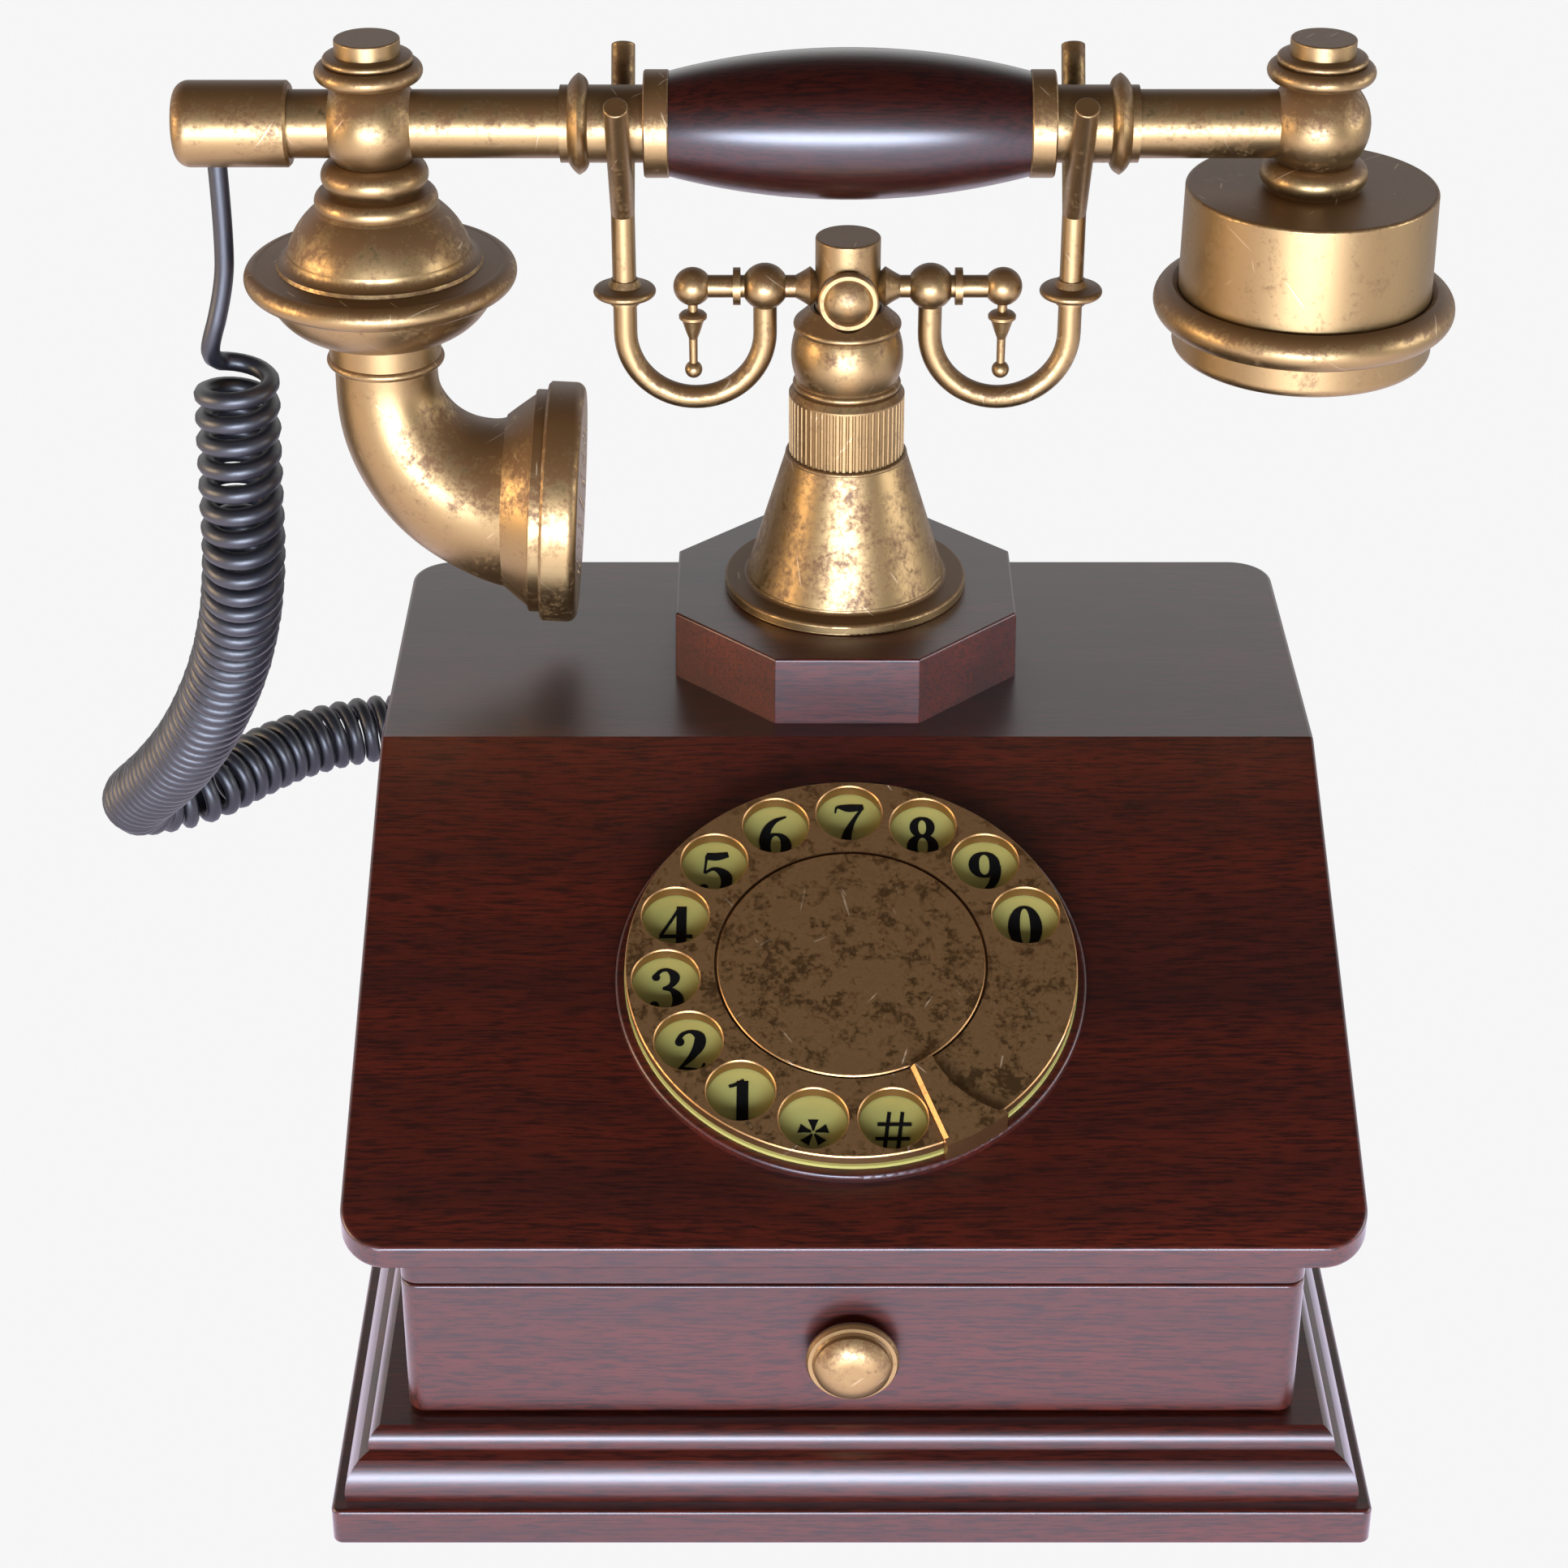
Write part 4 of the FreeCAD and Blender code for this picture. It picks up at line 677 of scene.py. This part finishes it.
def brassMaterial(name, look, seed):
    material, tree, shader = newMaterial(name)
    place = put(tree, "ShaderNodeTexCoord")
    moved = put(tree, "ShaderNodeMapping", None, Vector=place.outputs["Object"], Location=(seed, seed, seed))
    metal = put(tree, "ShaderNodeGroup", {"node_tree": patinaAndTopShadeGroup}, Vector=moved.outputs[0],
                Bright=look["bright"], Stain=look["stain"], Amount=look["amount"],
                Scratches=look["scratches"], Polish=look["polish"])
    for label, socket in (("Color", "Base Color"), ("Roughness", "Roughness"), ("Metallic", "Metallic")):
        tree.links.new(metal.outputs[label], shader.inputs[socket])
    shader.inputs["Coat Weight"].default_value = look["coat"]
    shader.inputs["Coat Roughness"].default_value = look["coatRoughness"]
    bumpTo(tree, shader, metal.outputs["Height"], look["bump"], look["bumpDepth"])
    return material


def mottled(name, first, second, scale, roughness, metallic=0.0, bump=0.1, distance=0.0002, specular=0.5):
    # a plain finish with a soft change of tone and a fine surface
    material, tree, shader = newMaterial(name)
    place = put(tree, "ShaderNodeTexCoord")
    tone = put(tree, "ShaderNodeTexNoise", None, Vector=place.outputs["Object"], Scale=scale, Detail=5.0)
    fine = put(tree, "ShaderNodeTexNoise", None, Vector=place.outputs["Object"], Scale=scale * 18,
               Detail=3.0)
    share = ramp(tree, tone.outputs[0], [(0.35, 0.0), (0.65, 1.0)])
    tree.links.new(mixColour(tree, share, (*first, 1), (*second, 1)), shader.inputs["Base Color"])
    tree.links.new(maths(tree, "ADD", roughness - 0.06, maths(tree, "MULTIPLY", fine.outputs[0], 0.12)),
                   shader.inputs["Roughness"])
    shader.inputs["Metallic"].default_value = metallic
    shader.inputs["Specular IOR Level"].default_value = specular
    bumpTo(tree, shader, fine.outputs[0], bump, distance)
    return material


alongX = (0, 0, 0)
alongY = (0, 0, math.radians(90))
finishes = {
    "lidWood": mahoganyMaterial("lidWood", alongX, 0.37),
    "frontWood": mahoganyMaterial("frontWood", alongX, 1.91),
    "sideWood": mahoganyMaterial("sideWood", alongY, 2.63),
    "baseWood": mahoganyMaterial("baseWood", alongX, 3.17),
    "blockWood": mahoganyMaterial("blockWood", alongX, 4.41),
    "gripWood": mahoganyMaterial("gripWood", alongX, 5.23, 0.26, 0.55),
    "brass": brassMaterial("brass", brass, 0.0),
    "cradleBrass": brassMaterial("cradleBrass", brass, 0.31),
    "columnBrass": brassMaterial("columnBrass", brass, 0.77),
    "dialBrass": brassMaterial("dialBrass", dialBrass, 1.13),
    "discBrass": brassMaterial("discBrass", dialBrass, 1.57),
    "rawWood": mottled("rawWood", (0.36, 0.22, 0.12), (0.28, 0.16, 0.085), 60, 0.7),
    "feltGreen": mottled("feltGreen", (0.03, 0.07, 0.045), (0.02, 0.05, 0.03), 300, 0.95, bump=0.6),
    "plateCream": mottled("plateCream", (0.36, 0.33, 0.095), (0.30, 0.27, 0.072), 40, 0.45),
    "figureBlack": mottled("figureBlack", (0.002, 0.002, 0.002), (0.004, 0.004, 0.004), 200, 0.7,
                           specular=0.1),
    "cordBlack": mottled("cordBlack", (0.006, 0.006, 0.009), (0.010, 0.010, 0.014), 90, 0.42, bump=0.05,
                         specular=0.8),
    "plainSteel": mottled("plainSteel", (0.42, 0.42, 0.43), (0.35, 0.35, 0.36), 70, 0.4, metallic=1.0),
    "blackPlastic": mottled("blackPlastic", (0.014, 0.014, 0.014), (0.02, 0.02, 0.02), 80, 0.42),
    "boardGreen": mottled("boardGreen", (0.02, 0.12, 0.045), (0.015, 0.09, 0.035), 50, 0.35),
}
wears = {
    "lidWood": ["lid_panel", "dial_bezel"],
    "frontWood": ["drawer_front", "neck_rail"],
    "sideWood": ["case_sides", "case_rear"],
    "baseWood": ["base_slab", "base_moulding"],
    "blockWood": ["octagon_block"],
    "gripWood": ["grip"],
    "brass": ["ferrules", "tube_right", "tube_left", "joint_balls", "finials", "end_cap", "mouth_bell",
              "horn_elbow", "mouthpiece_cap", "ear_cup", "ear_cap", "drawer_knob"],
    "cradleBrass": ["cradle_hub", "cross_arms", "hook_rods", "post_collars", "pendants"],
    "columnBrass": ["column_cone", "knurled_collar", "column_ball"],
    "dialBrass": ["finger_wheel", "finger_stop"],
    "discBrass": ["dial_centre"],
    "rawWood": ["case_floor", "drawer_shelf", "drawer_box"],
    "feltGreen": ["base_felt"],
    "plateCream": ["number_plate"],
    "plainSteel": ["column_tube", "plunger_rod", "plunger_spring", "dial_plate", "dial_shaft",
                   "switch_frame", "hook_lever", "clapper", "base_screws", "gong_posts", "ringer_coil",
                   "governor", "gongs"],
    "blackPlastic": ["microphone", "receiver", "cord_gland", "line_jack"],
    "boardGreen": ["circuit_board"],
}
for finish, names in wears.items():
    for name in names:
        mesh = nodes[name].data
        mesh.materials.clear()
        mesh.materials.append(finishes[finish])
curlyCord.data.materials.append(finishes["cordBlack"])
for piece in figurePieces:
    piece.data.materials.append(finishes["figureBlack"])
print("materials made")


# floor, lights and the sky around them
studio = {
    "floorTone": (0.75, 0.75, 0.78, 1),
    "seen": 0.925,  # the floor's tone in the picture
    "glow": 1.9,  # light thrown back by the floor in front of the object
    "glowTint": (0.84, 0.77, 1.0, 1),
    "glowMiddle": (0.0, -0.40, 0.0),
    "glowFades": [(0.2, 1.0), (0.85, 0.05)],  # metres from the middle, share of the glow
    "floorHalf": 6.0,
    "skyLow": 1.08,
    "skyHigh": 0.03,
    "skyHeights": (0.45, 0.75),  # where the low sky ends and the high sky starts
    "skyFront": 0.30,  # share of the sky's light that is left on the front side
    "skySides": (0.40, 0.62),
    "lights": [
        # name, place, aims at, width, height, power, colour
        ("frontLow", (-0.05, -1.2, 0.15), (0.0, 0.0, 0.14), 0.9, 0.28, 35.0, (0.70, 0.79, 1.0)),
        ("leftWarm", (-1.3, -0.25, 0.38), (0.0, 0.0, 0.12), 0.7, 0.5, 12.0, (1.0, 0.74, 0.48)),
        ("rightCool", (1.3, -0.15, 0.38), (0.0, 0.0, 0.12), 0.7, 0.5, 8.0, (0.86, 0.90, 1.0)),
    ],
}


def makeFloor():
    half = studio["floorHalf"]
    floor = addMesh("floor", [(-half, -half, 0), (half, -half, 0), (half, half, 0), (-half, half, 0)],
                    [(0, 1, 2, 3)], smooth=False)
    material, tree, shader = newMaterial("floorPale")
    place = put(tree, "ShaderNodeTexCoord")
    away = put(tree, "ShaderNodeVectorMath", {"operation": "DISTANCE"}, i0=place.outputs["Object"],
               i1=studio["glowMiddle"])
    glow = ramp(tree, away.outputs["Value"], studio["glowFades"])
    glow = maths(tree, "MULTIPLY", glow, studio["glow"])
    seen = put(tree, "ShaderNodeLightPath").outputs["Is Camera Ray"]
    tone = mixColour(tree, seen, studio["floorTone"], (0, 0, 0, 1))
    tree.links.new(tone, shader.inputs["Base Color"])
    tree.links.new(mixColour(tree, seen, studio["glowTint"], (1, 1, 1, 1)), shader.inputs["Emission Color"])
    tree.links.new(mixValue(tree, seen, glow, studio["seen"]), shader.inputs["Emission Strength"])
    shader.inputs["Roughness"].default_value = 1.0
    shader.inputs["Specular IOR Level"].default_value = 0.0
    floor.data.materials.append(material)


def makeSky():
    world = bpy.data.worlds.new("studioSky")
    scene.world = world
    world.use_nodes = True
    tree = world.node_tree
    tree.nodes.clear()
    place = put(tree, "ShaderNodeTexCoord")
    split = put(tree, "ShaderNodeSeparateXYZ", None, i0=place.outputs["Generated"])
    low, high = studio["skyHeights"]
    fade = ramp(tree, split.outputs[2], [(low, studio["skyLow"]), (high, studio["skyHigh"])])
    towardRear = maths(tree, "MULTIPLY_ADD", split.outputs[1], 0.5, 0.5)
    front, rear = studio["skySides"]
    side = ramp(tree, towardRear, [(front, studio["skyFront"]), (rear, 1.0)])
    fade = mixColour(tree, 1.0, fade, side, "MULTIPLY")
    back = put(tree, "ShaderNodeBackground", None, Color=fade, Strength=1.0)
    output = put(tree, "ShaderNodeOutputWorld")
    tree.links.new(back.outputs[0], output.inputs[0])


def makeLights():
    for name, place, target, width, height, power, colour in studio["lights"]:
        data = bpy.data.lights.new(name, "AREA")
        data.shape = "RECTANGLE"
        data.size = width
        data.size_y = height
        data.energy = power
        data.color = colour
        lamp = bpy.data.objects.new(name, data)
        lamp.location = place
        aim = Vector(target) - Vector(place)
        lamp.rotation_euler = aim.to_track_quat("-Z", "Y").to_euler()
        scene.collection.objects.link(lamp)


makeFloor()
makeSky()
makeLights()
scene.view_settings.view_transform = "Standard"
print("studio set")
